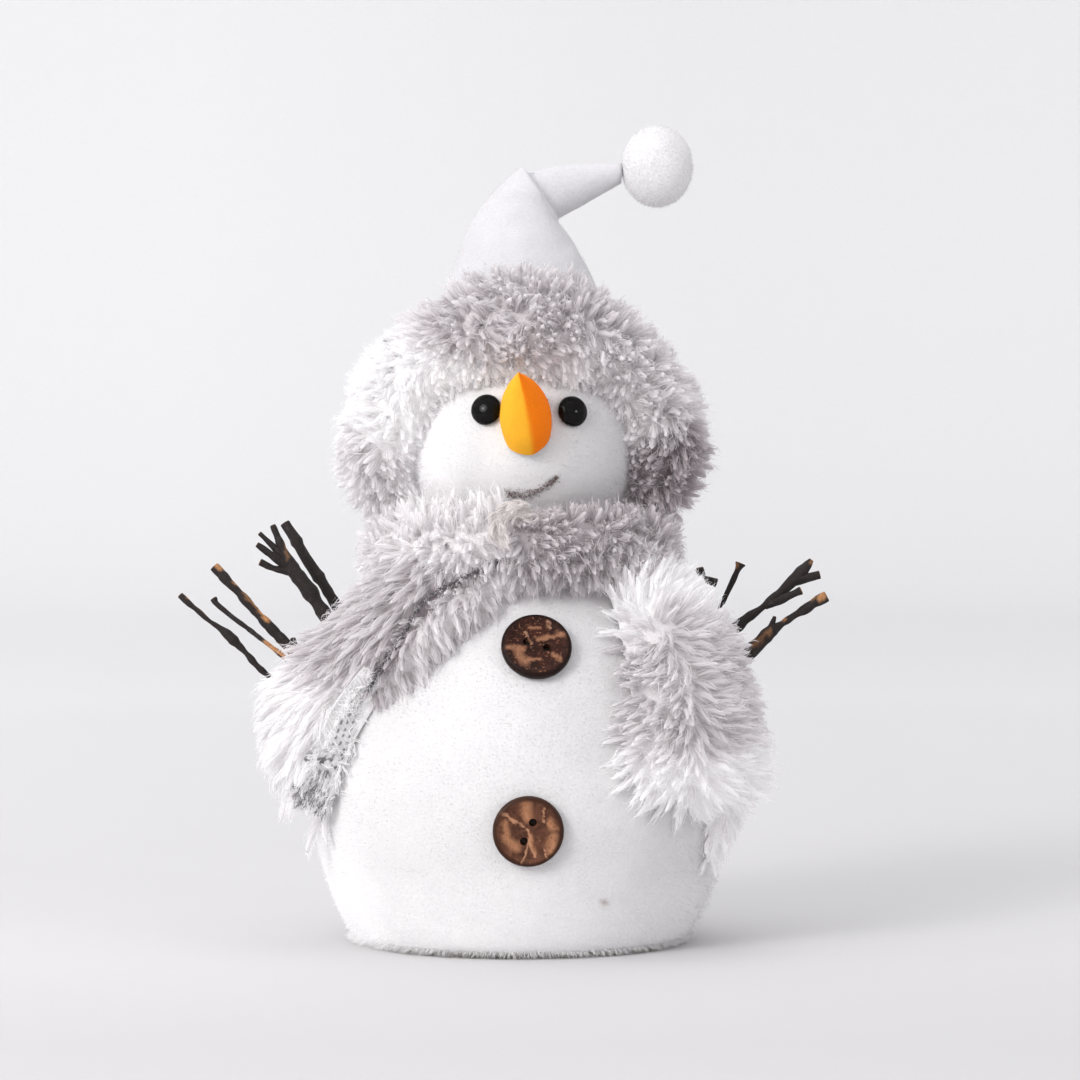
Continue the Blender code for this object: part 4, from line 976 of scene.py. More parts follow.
def trim_grey(p):
    back, blotch = behind(p)
    return mix(np.maximum.reduce([grey * patch(p, *oval) for grey, *oval in TRIM_GREYS]), blotch, back)


def make_trim():
    grid = trim_grid(6.8)
    verts, tris = shell(grid, HEAD)
    core = tri_mesh("hat_trim_ground", verts, tris, root_colour(trim_grey(verts)), "fur", FUR_BASE)
    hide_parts("hat_fur_trim")
    p, normal, _, across, _, v = scatter(
        grid, TRIM_SPACING, lambda q: HEAD, lambda q, u, v: (v > 0.02) & (v < 0.98))
    away = across * np.sign(v - 0.5)[:, None] * np.abs(v - 0.5)[:, None] * 1.3
    swirl = noise_vector(p, 7.0, 1)
    face_side = smooth(0.3, 0.05, v) * smooth(20.0, -10.0, p[:, 1])
    free = 1.0 - face_side[:, None]
    first = unit(normal + 0.35 * away * free + 0.35 * swirl + jitter(p, 0.12))
    last = normal * 0.6 + away * (1.0 - 0.8 * face_side)[:, None] + (0.95 - 0.5 * face_side[:, None]) * swirl
    last = unit(last - 0.3 * UP * free + jitter(p, 0.3))
    root, tip = fur_tints(trim_grey(p), p)
    size = rng.uniform(0.8, 1.12, len(p)) * (1.0 - 0.35 * smooth(0.25, 0.5, np.abs(v - 0.5)))
    size = size * (1.0 - 0.2 * face_side)
    tuft = TRIM_TUFT * rng.uniform(0.8, 1.2, len(p))
    thick = locks(p, normal, first, last, TRIM_PILE * size, tuft, root, tip, blunt=1.9)
    thin_ones = wisps(p + jitter(p, 0.7), normal, first, last, 0.5, 10.0 * size, 0.5, root, tip)
    make_fur("hat_trim_pile", [thick, thin_ones])


# ---------------------------------------------------------------- the scarf
COLLAR_ROWS, COLLAR_COLUMNS = 170, 44
COLLAR_MIDDLE, COLLAR_Z = 39.0, 116.0  # its middle line
COLLAR_SPACING, COLLAR_PILE, COLLAR_TUFT = 2.5, 7.4, 1.85
CHIN_TUFTS = 60
CURL = [(3.6, -47.4, 128.2), (0.6, -48.8, 130.0), (-2.8, -50.0, 129.6), (-5.6, -52.0, 127.0),
        (-6.2, -53.4, 123.4), (-3.8, -54.4, 120.2)]
CURL_TUFTS = 80
# Each row of an end: azimuth, z, half width, thickness, turn of its width in degrees, and lean.
LEFT_END = [
    (-34.0, 115.0, 13.0, 15.0, -50.0, 0.0), (-41.0, 106.0, 15.5, 15.5, -44.0, 0.0),
    (-48.0, 96.0, 16.5, 15.0, -40.0, 0.1), (-55.5, 84.5, 18.0, 14.8, -40.0, 0.2),
    (-63.5, 72.0, 20.0, 17.5, -46.0, 0.3), (-70.0, 61.0, 21.5, 18.5, -54.0, 0.4),
    (-74.5, 53.0, 20.5, 14.5, -61.0, 0.4),
]
LEFT_ROLL = [
    (-4.0, 112.0, 5.2, 8.0, -50.0, 0.0), (-15.0, 103.5, 5.6, 10.5, -48.0, 0.0),
    (-26.5, 94.0, 5.8, 11.0, -45.0, 0.0), (-37.5, 84.0, 5.2, 9.5, -45.0, 0.0),
    (-46.0, 76.5, 3.8, 6.0, -50.0, 0.0), (-49.0, 71.0, 2.4, 3.0, -60.0, 0.0),
]
RIGHT_END = [
    (56.0, 114.0, 10.5, 13.0, 0.0, 0.0), (60.0, 104.0, 17.5, 15.0, 0.0, 0.0),
    (60.5, 90.0, 26.0, 16.5, 0.0, -0.1), (59.5, 75.0, 30.5, 16.5, 0.0, -0.1),
    (57.5, 61.0, 34.0, 15.5, -1.0, -0.1), (57.5, 50.0, 33.0, 14.5, -4.0, -0.1),
    (58.0, 45.0, 29.0, 10.0, -5.0, 0.0),
]
RIGHT_CORNER = [
    (68.0, 56.0, 9.0, 13.0, 0.0, 0.0), (67.0, 44.0, 7.0, 10.5, 0.0, 0.0), (66.0, 34.0, 5.2, 8.0, 0.0, 0.0),
    (65.0, 26.5, 3.2, 4.5, 0.0, 0.0),
]


def collar_grid(shrink):
    u = np.linspace(0.0, 360.0, COLLAR_ROWS)[:, None]
    angle = np.linspace(-0.65 * np.pi, 0.85 * np.pi, COLLAR_COLUMNS)[None, :]
    out = heading(u)
    centre = out * np.array([37.5, 41.0, 0.0])
    centre[..., 2] = 119.0 - 5.5 * (1.0 - np.cos(np.radians(u))) / 2
    return (centre + out * ((12.0 - shrink) * np.cos(angle))[..., None]
            + UP * ((13.5 - shrink) * np.sin(angle))[..., None])


def collar_middle(p):
    return unit(p * LEVEL) * COLLAR_MIDDLE + COLLAR_Z * UP


def collar_grey(p):
    back, blotch = behind(p)
    return mix(0.3 + 0.85 * smooth(-9.0, 3.0, p[:, 0] + 4.0 * value_noise(p, 7.0, 2)), blotch, back)


def make_collar():
    grid = collar_grid(5.6)
    verts, tris = shell(grid, collar_middle)
    core = tri_mesh("scarf_collar_ground", verts, tris, root_colour(collar_grey(verts)), "fur", FUR_BASE)
    p, normal, *_ = scatter(grid, COLLAR_SPACING, collar_middle)
    swirl = noise_vector(p, 8.0, 4)
    first = unit(normal + 0.3 * swirl + jitter(p, 0.12))
    last = unit(normal * 0.5 + UP * (0.5 * normal[:, 2:3] - 0.45) + 0.8 * swirl + jitter(p, 0.25))
    root, tip = fur_tints(collar_grey(p), p)
    under_chin = smooth(124.0, 129.0, p[:, 2]) * smooth(-24.0, -36.0, p[:, 1])
    size = rng.uniform(0.8, 1.1, len(p)) * (1.0 - 0.3 * under_chin)
    thick = locks(p, normal, first, last, COLLAR_PILE * size, COLLAR_TUFT, root, tip, blunt=1.8)
    thin_ones = wisps(p, normal, first, last, 0.5, (COLLAR_PILE + 1.0) * size, 0.45, root, tip)
    on_chin = (p[:, 2] > 123.5) & (p[:, 0] > -33.0) & (p[:, 0] < -5.0) & (p[:, 1] < -24.0)
    chosen = rng.permutation(np.flatnonzero(on_chin))[:CHIN_TUFTS]
    base, out = p[chosen], normal[chosen]
    high = unit(0.9 * out + 0.8 * UP + jitter(base, 0.25))
    over = unit(np.array([-0.3, -0.25, 1.0]) + 0.7 * swirl[chosen] + jitter(base, 0.3))
    pale = rng.uniform(0.0, 0.35, len(base))
    chin = locks(base, out, high, over, rng.uniform(7.0, 11.5, len(base)), 1.9, root_colour(pale),
                 tip_colour(pale), curl=0.45, blunt=1.5)
    make_fur("scarf_collar_pile", [thick, thin_ones, chin, curl_lock()])
    return core


def curl_lock():
    """The thick cream curl at the front of the neck: tufts laid along a hook."""
    line = spline(CURL, 4)
    tangent = unit(np.gradient(line, axis=0))
    pick = rng.integers(0, len(line) - 3, CURL_TUFTS)
    start = line[pick] + jitter(line[pick], 1.0)
    first = unit(tangent[pick] + jitter(start, 0.22))
    last = unit(tangent[np.minimum(pick + 5, len(line) - 1)] + jitter(start, 0.3))
    up, cream = np.tile([0.0, -1.0, 0.2], (CURL_TUFTS, 1)), np.tile(CREAM, (CURL_TUFTS, 1))
    return locks(start, up, first, last, rng.uniform(3.5, 6.0, CURL_TUFTS), 0.95, cream * 0.75, cream,
                 strands=11, width=0.11, curl=0.4)


def end_grid(rows, shrink, columns):
    """The top of a scarf end on the body, lowered by a distance, closed down at its end."""
    r = spline(rows, 7)
    last = r[-1:] * np.ones((3, 1))
    last[:, 3] *= (0.8, 0.45, 0.05)
    step = (r[-1] - r[-2]) * 0.3
    r = np.concatenate([r, last + np.outer((1, 2, 2.5), step) * (1, 1, 0, 0, 0, 0)])
    az, z, half, thick, cross, lean = (r[:, i][:, None] for i in range(6))
    a = np.linspace(0.0, np.pi, columns)[None, :]
    share = np.sign(np.cos(a)) * np.abs(np.cos(a)) ** 0.75
    height = thick * np.sin(a) ** 0.75 * (1.0 - lean * np.cos(a))
    height = np.maximum(height - shrink, 0.25 * height)
    cross = np.radians(cross)
    slope = np.sqrt(1.0 - body_normal(az[:, 0], z[:, 0])[:, 2] ** 2)[:, None]
    reach = (half - 0.35 * shrink) * share
    there = az + np.degrees(reach * np.cos(cross) / (body_radius(z) + thick / 3))
    return on_body(there, z + reach * np.sin(cross) * slope, height + 0.9)


def end_fur(rows, shrink, spacing, length, radius, lay, grey, columns=40, keep=None):
    """Ground and locks of one scarf end. lay(p, along, across, v) gives the way the locks lie."""
    grid = end_grid(rows, shrink, columns)
    p, normal, along, across, _, v = scatter(grid, spacing, from_axis, keep)
    swirl = noise_vector(p, 8.0, 6)
    way = lay(p, along, across, v)
    first = unit(normal * 0.8 + way * 0.6 + 0.25 * swirl + jitter(p, 0.12))
    last = unit(normal * 0.12 + way + 0.4 * swirl + jitter(p, 0.18))
    root, tip = fur_tints(grey(p), p)
    size = rng.uniform(0.8, 1.12, len(p))
    thick = locks(p, normal, first, last, length * size, radius * rng.uniform(0.8, 1.2, len(p)), root, tip)
    thin_ones = wisps(p, normal, first, last, 0.45, length * 1.08 * size, 0.45, root, tip)
    verts, tris = shell(grid, from_axis)
    return (verts, tris, root_colour(grey(verts))), [thick, thin_ones]


def on_front(points):
    """Places on the front of the body from (x, z, how far out they stand)."""
    return np.array([(x, -math.sqrt((body_radius(z) + lift) ** 2 - x * x), z) for x, z, lift in points])


SEAM = np.array([(-6.0, -44.0, 115.0), (-11.2, -44.4, 112.2), (-19.0, -44.8, 108.6), (-27.8, -45.0, 102.4),
                 (-34.0, -47.0, 92.0), (-39.6, -46.8, 83.6), (-43.0, -46.2, 77.6)])
SEAM_CLEAR, STRIP_CLEAR = 2.7, 5.2  # no tufts grow nearer than this
SEAM_THREADS, RAGGED_TUFTS, STRAY_TUFTS = 1000, 190, 260
STRIP_LEFT = on_front([(-41.5, 83.0, 8.5), (-46.8, 77.5, 9.0), (-51.2, 72.0, 9.3), (-55.5, 62.5, 9.2),
                       (-61.0, 54.0, 9.0), (-64.5, 46.5, 8.8)])
STRIP_RIGHT = on_front([(-37.5, 81.5, 4.2), (-42.3, 77.0, 3.8), (-46.0, 72.0, 3.2), (-48.4, 62.5, 2.6),
                        (-52.6, 53.0, 2.2), (-55.0, 43.0, 2.2)])
STRIP_MIDDLE = (STRIP_LEFT + STRIP_RIGHT) / 2
TUCKED = 4.9  # how far the strip goes in under the pile
KNIT_TINT, THREAD = np.array([0.74, 0.73, 0.735]), np.array([0.11, 0.10, 0.11])
DASH, SEAM_DASH = 2.3, 1.7  # from one thread of a row to the next
CORNER_GREY, CORNER_COLUMNS, ROLL_COLUMNS = 0.05, 24, 24


def near_line(p, line):
    """Distances, seen from the front, of points to a line through places."""
    best = np.full(len(p), 1e3)
    line = np.asarray(line)[:, [0, 2]]
    for a, b in zip(line[:-1], line[1:], strict=True):
        d = b - a
        t = np.clip(((p[:, [0, 2]] - a) @ d) / (d @ d), 0.0, 1.0)
        best = np.minimum(best, np.linalg.norm(p[:, [0, 2]] - a - t[:, None] * d, axis=1))
    return np.where(p[:, 1] < 0, best, 1e3)


def ribbon(name, one, other, columns, thickness, threads):
    """A closed strip of knitted backing between two edges; threads(along, across, places) is how dark it
    is, by millimetres along it and its share across."""
    one, other = spline(one, 24), spline(other, 24)
    run = np.concatenate([[0.0], np.cumsum(np.linalg.norm(np.diff((one + other) / 2, axis=0), axis=1))])
    w = np.linspace(0.0, 1.0, columns)
    top = one[:, None] * (1 - w[:, None]) + other[:, None] * w[:, None]
    out = unit(np.cross(np.gradient(top, axis=0), np.gradient(top, axis=1)))
    out *= -np.sign(out[..., 1:2])
    waves = 0.25 * value_noise(top.reshape(-1, 3), 2.5, 6).reshape(top.shape[:2])
    top = top + out * (waves + 0.4 * np.sin(np.pi * w))[..., None]
    verts = np.concatenate([top, (top - out * thickness)[:, ::-1]], 1).reshape(-1, 3)
    k = np.arange(columns - 1)
    under = 2 * columns - 1 - k
    cap = np.stack([k, k + 1, under - 1, k, under - 1, under], 1).reshape(-1, 3)
    foot = cap + (len(run) - 1) * 2 * columns
    tris = np.concatenate([grid_tris(len(run), 2 * columns, wrap_columns=True), cap[:, ::-1], foot])
    along, across = np.repeat(run, 2 * columns), np.tile(np.concatenate([w, w[::-1]]), len(run))
    tint = mix(KNIT_TINT, THREAD, threads(along, across, verts)[:, None])
    piece = tri_mesh(name, verts, outward(verts, tris, verts.mean(0)), tint, "fur", KNIT)
    return piece, run[-1], float(np.linalg.norm(one - other, axis=1).mean())


def strip_threads(along, across, verts):
    """Three rows of short dashes, then larger loose ends towards the ragged end."""
    dash = (np.sin((along + 0.7 * value_noise(verts, 3.0, 12)) * 2 * np.pi / DASH) > 0.05).astype(float)
    shown = (across - 0.38) / 0.62
    rows = np.exp(-((((shown * 3.2) % 1.0) - 0.5) ** 2) / 0.03) * (shown > 0.02) * (shown < 0.97)
    loose = smooth(0.15, 0.45, value_noise(verts, 1.3, 4)) * smooth(24.0, 34.0, along)
    early = 0.35 + 0.65 * smooth(3.0, 12.0, along)
    return np.clip(rows * dash * early * smooth(36.0, 28.0, along) + loose, 0.0, 1.0) * 0.95


def seam_threads_and_shade(along, across, verts):
    # Dark stitches in dashes down the middle, over a painted shade of the crease all along the strip.
    dash = np.sin((along + 0.5 * value_noise(verts, 3.0, 2)) * 2 * np.pi / SEAM_DASH) > -0.1
    return 0.45 + 0.5 * dash * np.exp(-((across - 0.5) ** 2) / 0.12)


def make_backing():
    """The knitted edge that shows along the left end."""
    under = STRIP_LEFT + unit(STRIP_LEFT - STRIP_RIGHT) * TUCKED - unit(STRIP_LEFT * LEVEL) * 1.6
    strip, length, breadth = ribbon("scarf_knit_edge", under, STRIP_RIGHT, 44, 0.8, strip_threads)


def make_seam():
    """The seam along the left end, with its loose dark threads."""
    line = SEAM + unit(SEAM * LEVEL) * 0.8
    drop = np.array([0.45, 0.0, 0.75]) * np.linspace(1.0, 0.35, len(line))[:, None]
    ribbon("scarf_seam", line + drop, line - drop, 9, 0.7, seam_threads_and_shade)
    run = spline(line, 30)
    shape = SEAM_THREADS, 3
    stitch = run[(len(run) * 0.98 * rng.random(SEAM_THREADS) ** 1.25).astype(int)]
    stitch = stitch + rng.normal(size=shape) * (0.35, 0.3, 0.35)
    stitch[:, 1] -= rng.uniform(0.4, 2.4, SEAM_THREADS)
    lie = unit(rng.normal(size=shape) + np.array([-0.8, -0.3, -1.0]))
    length = rng.uniform(0.6, 1.9, SEAM_THREADS)
    tint = THREAD * rng.uniform(0.4, 1.9, (SEAM_THREADS, 1))
    make_fibres("scarf_seam_threads", "fur", fibres(stitch, lie, lie, length, 0.12, tint))


def make_ragged_end():
    """Torn tufts at the knitted edge's lower end, and stray ones along its sides."""
    n = RAGGED_TUFTS
    w = rng.random(n)[:, None]
    left, right = spline(STRIP_LEFT, 8), spline(STRIP_RIGHT, 8)
    row = (len(left) - 1 - rng.integers(0, 9, n) * (rng.random(n) < 0.55)).astype(int)
    root = left[row] * (1 - w) + right[row] * w
    out = unit(root * LEVEL)
    way = unit(np.array([-0.12, 0.02, -1.0]) + out * 0.18 + jitter(root, 0.34))
    dark = (rng.random(n) < 0.22)[:, None]
    foot = np.where(dark, THREAD * 2.5, WHITE_ROOT * 0.9)
    tip = np.where(dark, THREAD * 1.6, WHITE_TIP * 0.95)
    ragged = locks(root + out * 0.3, out, unit(way + out * 0.5), way, rng.uniform(2.5, 5.5, n), 1.1, foot, tip,
                   strands=7, curl=0.4, core=0.0)
    n = STRAY_TUFTS
    edges = np.concatenate([right, left])
    root = edges[rng.integers(0, len(edges), n)]
    root = root + jitter(root, 0.7)
    out = unit(root * LEVEL)
    stray = unit(jitter(root, 0.7) + out * 0.7 + (0.1, 0.0, -0.7))
    strays = locks(root, out, stray, stray, rng.uniform(1.5, 4.5, n), 0.8, np.tile(WHITE_ROOT, (n, 1)),
                   np.tile(WHITE_TIP, (n, 1)), strands=5, width=0.11, curl=0.4, core=0.0)
    make_fur("scarf_ragged_end", [ragged, strays])


def seam_shadow(p):
    return np.exp(-((near_line(p, SEAM) / 2.6) ** 2))


def left_lay(p, along, across, v):
    return unit(unit(along - 0.15 * UP) + across * ((v - 0.5) * 1.5)[:, None])


def left_grey(p):
    above = p[:, 2] - 75.0 + 0.556 * (45.0 + p[:, 0]) + 5.0 * value_noise(p, 9.0, 3)
    back, blotch = behind(p)
    front = 0.05 + 0.70 * smooth(-5.0, 5.0, above) * smooth(125.0, 116.0, p[:, 2])
    return mix(front + seam_shadow(p), 0.8 * blotch, back)


def right_lay(p, along, across, v):
    ridge = np.tanh((np.degrees(np.arctan2(p[:, 0], -p[:, 1])) - 46.0) / 9.0)
    side = unit(np.cross(unit(p * LEVEL), -UP))
    high = smooth(92.0, 104.0, p[:, 2])[:, None]
    return unit(side * ridge[:, None] + UP * (0.9 * high - 0.22))


def right_grey(p):
    back, blotch = behind(p)
    front = 0.54 * patch(p, (50.0, 78.0), (30.0, 18.5), 0.3)
    return mix(front, 0.7 * blotch * smooth(44.0, 60.0, p[:, 2]), back)


def make_scarf():
    core = make_collar()
    left = end_fur(LEFT_END, 5.8, 2.7, 12.0, 2.2, left_lay, left_grey, keep=lambda p, u, v: (
        near_line(p, STRIP_MIDDLE) > STRIP_CLEAR) & (near_line(p, SEAM) > SEAM_CLEAR))
    roll = end_fur(
        LEFT_ROLL, 3.6, 2.5, 7.6, 1.9, lambda p, along, across, v: unit(-across + along * 0.35 - 0.3 * UP),
        lambda p: 0.5 + 0.9 * seam_shadow(p), ROLL_COLUMNS, lambda p, u, v: u < 0.74)
    right = end_fur(RIGHT_END, 5.8, 2.6, 9.5, 2.0, right_lay, right_grey)
    corner = end_fur(RIGHT_CORNER, 3.6, 2.2, 6.2, 1.3, lambda p, along, across, v: along,
                     lambda p: np.full(len(p), CORNER_GREY), CORNER_COLUMNS)
    grounds = join([part[0] for part in (left, roll, right, corner)])
    ends = tri_mesh("scarf_ends_ground", *grounds, slot="fur", material=FUR_BASE)
    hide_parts("scarf")
    make_fur("scarf_left_pile", left[1] + roll[1])
    make_fur("scarf_right_pile", right[1] + corner[1])
    make_backing()
    make_seam()
    make_ragged_end()


# ---------------------------------------------------------------- twigs
# Each twig's trunk and then its branches: x, y, z and radius along each.
TWIGS = {
    "twig_left_1": [
        [(-48, 23, 86, 1.6), (-60, 27.6, 105, 1.7), (-72.3, 32, 124.4, 1.6)],
    ],
    "twig_left_2": [
        [(-51.6, 13.4, 84.2, 1.7), (-60.4, 15, 98.5, 2.3), (-69.7, 16.6, 111.6, 2.4),
         (-72.3, 17, 116.5, 1.6), (-75.3, 17.6, 124, 0.9)],
        [(-69.3, 16.5, 111, 1.6), (-74.7, 16.5, 117.3, 1), (-79.3, 16.5, 121.6, 0.7)],
        [(-69.3, 16.5, 110.8, 1.6), (-75.3, 15, 115, 1.1), (-79.6, 14, 118.2, 0.9)],
        [(-69.1, 16.4, 110, 1.6), (-73.3, 15.6, 110.7, 1.3), (-76.1, 15, 111.6, 1),
         (-78.9, 14.6, 113, 1)],
    ],
    "twig_left_3": [
        [(-57, 12.2, 75.6, 1.6), (-68.8, 14.4, 86, 1.7), (-80.7, 16.6, 98, 1.4),
         (-93.1, 19, 111.4, 1.5)],
        [(-67.4, 14, 84.6, 1.2), (-69.2, 14.4, 89.8, 0.9)],
    ],
    "twig_left_4": [
        [(-58.6, 8.4, 73.2, 0.9), (-69.6, 9.6, 82.6, 0.8), (-81.2, 11, 92, 0.7),
         (-91, 12, 99.2, 0.8), (-93, 12.4, 101.7, 1.2)],
    ],
    "twig_left_5": [
        [(-59.4, 14.8, 63.9, 0.9), (-74.2, 16.6, 76.2, 0.8), (-79.8, 17.2, 81, 1.1),
         (-83.2, 17.6, 84.8, 0.9), (-88, 18, 89.7, 1.8), (-92, 18.6, 93, 0.9),
         (-98.4, 19.4, 98.1, 0.8), (-103.6, 20, 102.5, 1)],
    ],
    "twig_right_1": [
        [(45.6, 28.8, 82, 0.9), (51.4, 28.4, 97, 0.9), (55.6, 28, 106.2, 1.2), (54.8, 28, 110.8, 1.3)],
        [(55.2, 28, 107.4, 1.1), (57.6, 28, 107.0, 1.2), (60, 28, 106.2, 1.3)],
    ],
    "twig_right_2": [
        [(50.6, 19.8, 83, 0.9), (59, 19.4, 95.6, 0.8), (65.6, 19, 109.2, 1), (67, 19, 112.1, 1.5)],
    ],
    "twig_right_3": [
        [(53.2, 9.4, 82, 1.9), (64, 10.4, 92.2, 1.9), (73.5, 11.2, 99.4, 1.1), (80.2, 12, 105, 1.7),
         (84.6, 12.4, 109.2, 1.9), (88.3, 13, 113.6, 0.9)],
        [(83.2, 12.2, 107.6, 1.6), (90.6, 12, 109.2, 1.2)],
        [(74.2, 11.2, 99.6, 1), (80.2, 9, 102.2, 1.4), (84.5, 8.4, 104.4, 1.3)],
    ],
    "twig_right_4": [
        [(57.4, 6.8, 75, 2.1), (69, 7.6, 85.6, 2.2), (75.4, 8.2, 91.8, 2.1), (78.6, 8.4, 94.1, 1.3),
         (86, 9, 99, 1.4), (92.6, 9.4, 102.8, 1.6)],
        [(75.2, 8.2, 91.5, 1.6), (77, 8.2, 96.5, 0.5)],
    ],
}
BARK_TINT, WOOD_TINT = np.array([0.015, 0.0100, 0.0095]), np.array([0.46, 0.22, 0.09])
# Streaks where the bark has come off, and one painted highlight: x and z of both ends and half a width in
# millimetres, and how much shows.
BARE_AND_HIGHLIGHT = [(-86.7, 107.4, -86.0, 106.4, 0.8, 0.9), (-84.4, 103.8, -79.6, 98.6, 0.45, 0.6),
        (-78.9, 98.4, -76.4, 95.6, 0.95, 0.95), (-92.4, 112.4, -91.2, 111.2, 1.0, 0.9),
        (-76.6, 88.8, -70.4, 84.4, 1.1, 0.85), (-102.4, 103.6, -101.0, 102.2, 0.7, 0.6),
        (-99.0, 100.0, -95.0, 96.4, 0.35, 0.4), (-71.4, 119.4, -70.6, 113.6, 0.45, 0.35),
        (92.8, 104.0, 91.0, 102.4, 1.2, 0.75), (88.6, 102.8, 87.8, 102.0, 0.7, 0.5),
        # The next row's second streak is a painted highlight, not bare wood.
        (70.6, 88.2, 75.4, 92.6, 0.9, 0.32), (79.2, 95.4, 79.9, 95.9, 0.5, 0.5),
        (88.6, 113.6, 88.0, 112.8, 0.6, 0.4), (66.0, 112.4, 65.6, 111.2, 0.5, 0.4)]
SAWN = 0.3  # how pale a twig's sawn end is
STEM_SIDES = 12
INTO_BODY = 8.0  # how far a twig goes on inside the body


def stem(points, seed):
    """A knobbly tube with a sawn end."""
    row = spline(points, 14)
    line, radius = row[:, :3], row[:, 3]
    line = line + 0.32 * noise_vector(line, 5.0, seed) * np.linspace(0.3, 1, len(line))[:, None]
    radius = radius * (1.0 + 0.24 * value_noise(line, 2.2, seed + 1))
    tangent = unit(np.gradient(line, axis=0))
    side = unit(np.cross(tangent, (0.0, 1.0, 0.1)))
    rise = np.cross(side, tangent)
    a = np.linspace(0.0, 2 * np.pi, STEM_SIDES, endpoint=False)
    ring = np.cos(a)[None, :, None] * side[:, None] + np.sin(a)[None, :, None] * rise[:, None]
    ridge = 1.0 + 0.10 * value_noise(ring * 1.5 + line[:, None] * 0.16, 0.55, seed + 2)
    grid = line[:, None] + ring * (radius[:, None] * ridge)[..., None]
    end = line[-1] + (grid[-1] - line[-1]) * 0.86 + tangent[-1] * 0.22
    verts = np.concatenate([grid.reshape(-1, 3), end, (end.mean(0) + tangent[-1] * 0.05)[None]])
    tris = np.concatenate([grid_tris(len(line) + 1, STEM_SIDES, wrap_columns=True),
                           fan(len(line) * STEM_SIDES, STEM_SIDES, len(verts) - 1)])
    inside = np.concatenate([np.repeat(line, STEM_SIDES, 0), np.repeat(line[-1:], STEM_SIDES + 1, 0)])
    tris = outward(verts, tris, inside[tris[:, 0]])
    # Pale where the bark has come off, at the sawn end, and at one painted highlight.
    bare_and_highlight = np.zeros(len(verts))
    for x0, z0, x1, z1, r, share in BARE_AND_HIGHLIGHT:
        far = near_line(verts - (0.0, 100.0, 0.0), [(x0, 0.0, z0), (x1, 0.0, z1)]) / r
        bare_and_highlight = np.maximum(bare_and_highlight, share * smooth(1.2, 0.6, far + 0.35 * value_noise(verts, 1.3, 7)))
    bare_and_highlight[-STEM_SIDES - 1 :] = np.maximum(bare_and_highlight[-STEM_SIDES - 1 :], SAWN)
    return verts, tris, mix(BARK_TINT, WOOD_TINT, bare_and_highlight[:, None])


def make_twigs():
    for number, (name, (trunk, *branches)) in enumerate(TWIGS.items()):
        start, then = np.array(trunk[0][:3], float), np.array(trunk[1][:3], float)
        thick = trunk[1][3]
        trunk = [(*(start + unit(start - then) * INTO_BODY), thick), (*start, thick), *trunk[1:]]
        parts = [stem(points, 10 * number + i) for i, points in enumerate([trunk, *branches])]
        twig = tri_mesh(f"{name}_bark", *join(parts), slot="twigs", material=BARK)
        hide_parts(name)


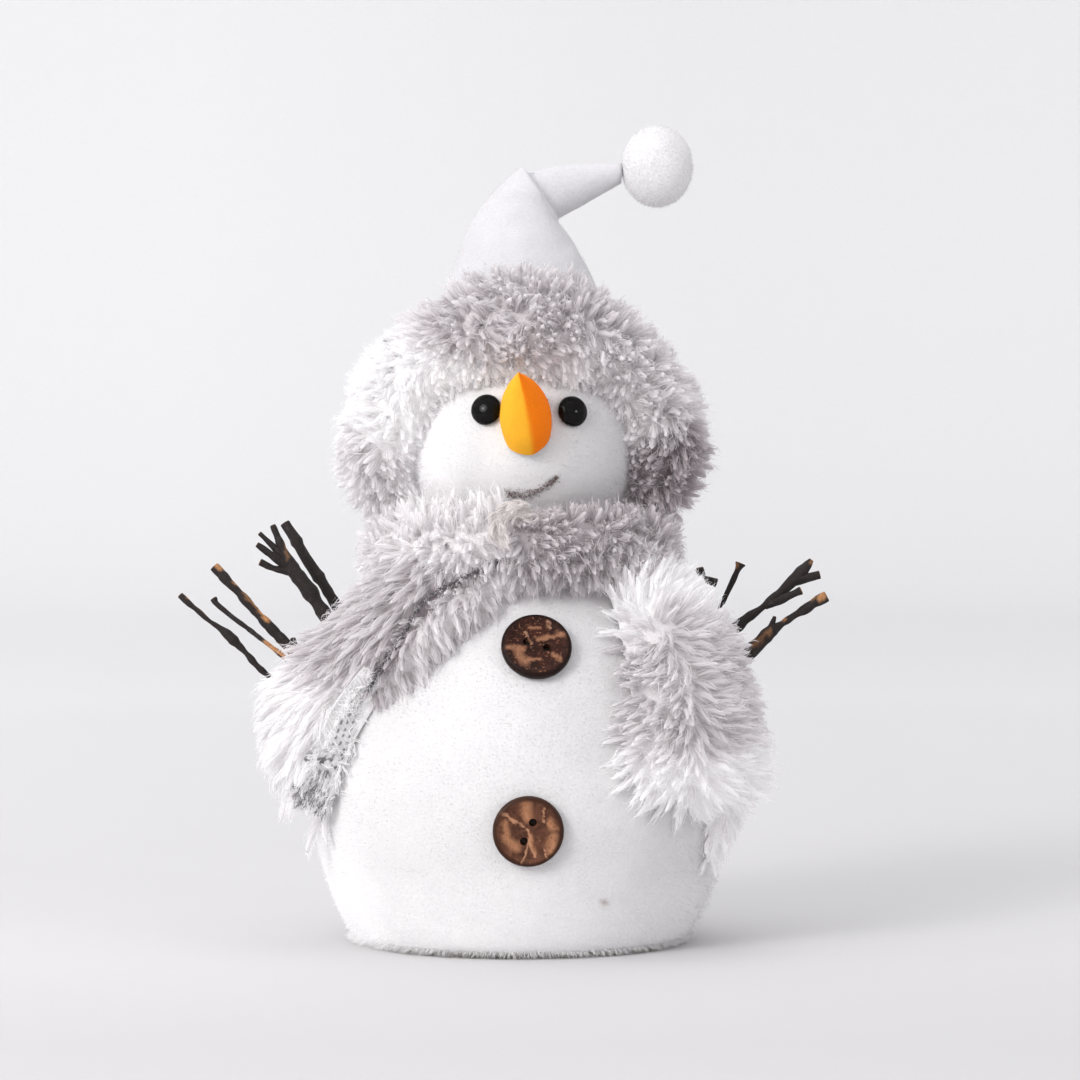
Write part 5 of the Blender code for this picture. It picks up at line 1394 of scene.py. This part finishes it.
# ---------------------------------------------------------------- studio, in metres
CAMERA, AIM = (0.006, -1.25, 0.150), (0.006, 0.0, 0.120)
FOCAL_LENGTH = 138.9
LAMPS = (  # name, watts, width, place, colour
    ("key", 25.0, 1.3, (-1.25, -1.6, 1.0), (1.0, 0.99, 0.985)),
    ("top", 10.0, 1.8, (0.1, 0.1, 2.0), (0.97, 0.98, 1.0)),
    ("fill", 3.6, 0.32, (1.5, -1.3, 0.7), (0.98, 0.98, 1.0)),
    ("key_core", 9.0, 0.45, (-1.24, -1.59, 0.99), (1.0, 0.99, 0.985)),
)
LAMPS_AIM = (0.0, 0.0, 0.12)
SKY_LEFT, SKY_RIGHT, SKY_STRENGTH = (1.0, 1.0, 1.0), (0.46, 0.465, 0.48), 1.22
FLOOR_RADIUS, SWEEP_RADIUS, WALL_TOP = 2400.0, 700.0, 1500.0  # in millimetres


def put_in_scene(name, data, where, aim):
    made = bpy.data.objects.new(name, data)
    made.location = where
    made.rotation_euler = (Vector(aim) - Vector(where)).to_track_quat("-Z", "Y").to_euler()
    bpy.context.scene.collection.objects.link(made)
    return made


def make_studio():
    rows = [(r, 0.0) for r in np.linspace(0.0, FLOOR_RADIUS, 16)]
    rows += [(FLOOR_RADIUS + SWEEP_RADIUS * math.sin(a), SWEEP_RADIUS * (1 - math.cos(a)))
             for a in np.linspace(0.1, math.pi / 2, 14)]
    rows += [(FLOOR_RADIUS + SWEEP_RADIUS, WALL_TOP)]
    verts, tris = lathe(rows, 96)
    floor = tri_mesh("studio_floor", verts, tris, None, None, material("studio_paper", paper))
    camera = bpy.data.cameras.new("camera")
    camera.lens, camera.sensor_width = FOCAL_LENGTH, 36.0
    camera.clip_start, camera.clip_end = 0.05, 50.0
    bpy.context.scene.camera = put_in_scene("camera", camera, CAMERA, AIM)
    for name, energy, size, where, colour in LAMPS:
        light = bpy.data.lights.new(name, "AREA")
        light.energy, light.size, light.color, light.shape = energy, size, colour, "DISK"
        put_in_scene(name, light, where, LAMPS_AIM)
    world = bpy.data.worlds.new("studio")
    world.use_nodes = True
    n = Nodes(world.node_tree)
    side = n.add("SeparateXYZ", {0: n.add("TexCoord").outputs["Generated"]}).outputs["X"]
    sky = n.add("ValToRGB", {"Fac": n.span(side, -1.0, 1.0)})
    for element, colour in zip(sky.color_ramp.elements, (SKY_LEFT, SKY_RIGHT), strict=True):
        element.color = (*colour, 1.0)
    n.put(world.node_tree.nodes["Background"], {"Color": sky.outputs["Color"], "Strength": SKY_STRENGTH})
    bpy.context.scene.world = world
    bpy.context.scene.view_settings.view_transform = "Standard"


make_body()
make_body_flock()
make_head()
make_head_flock()
make_mouth()
make_eyes()
make_nose()
for button, setting in BUTTONS.items():
    make_button(button, *setting)
make_hat()
make_pompom()
make_trim()
make_scarf()
make_twigs()
make_studio()

bpy.context.view_layer.update()
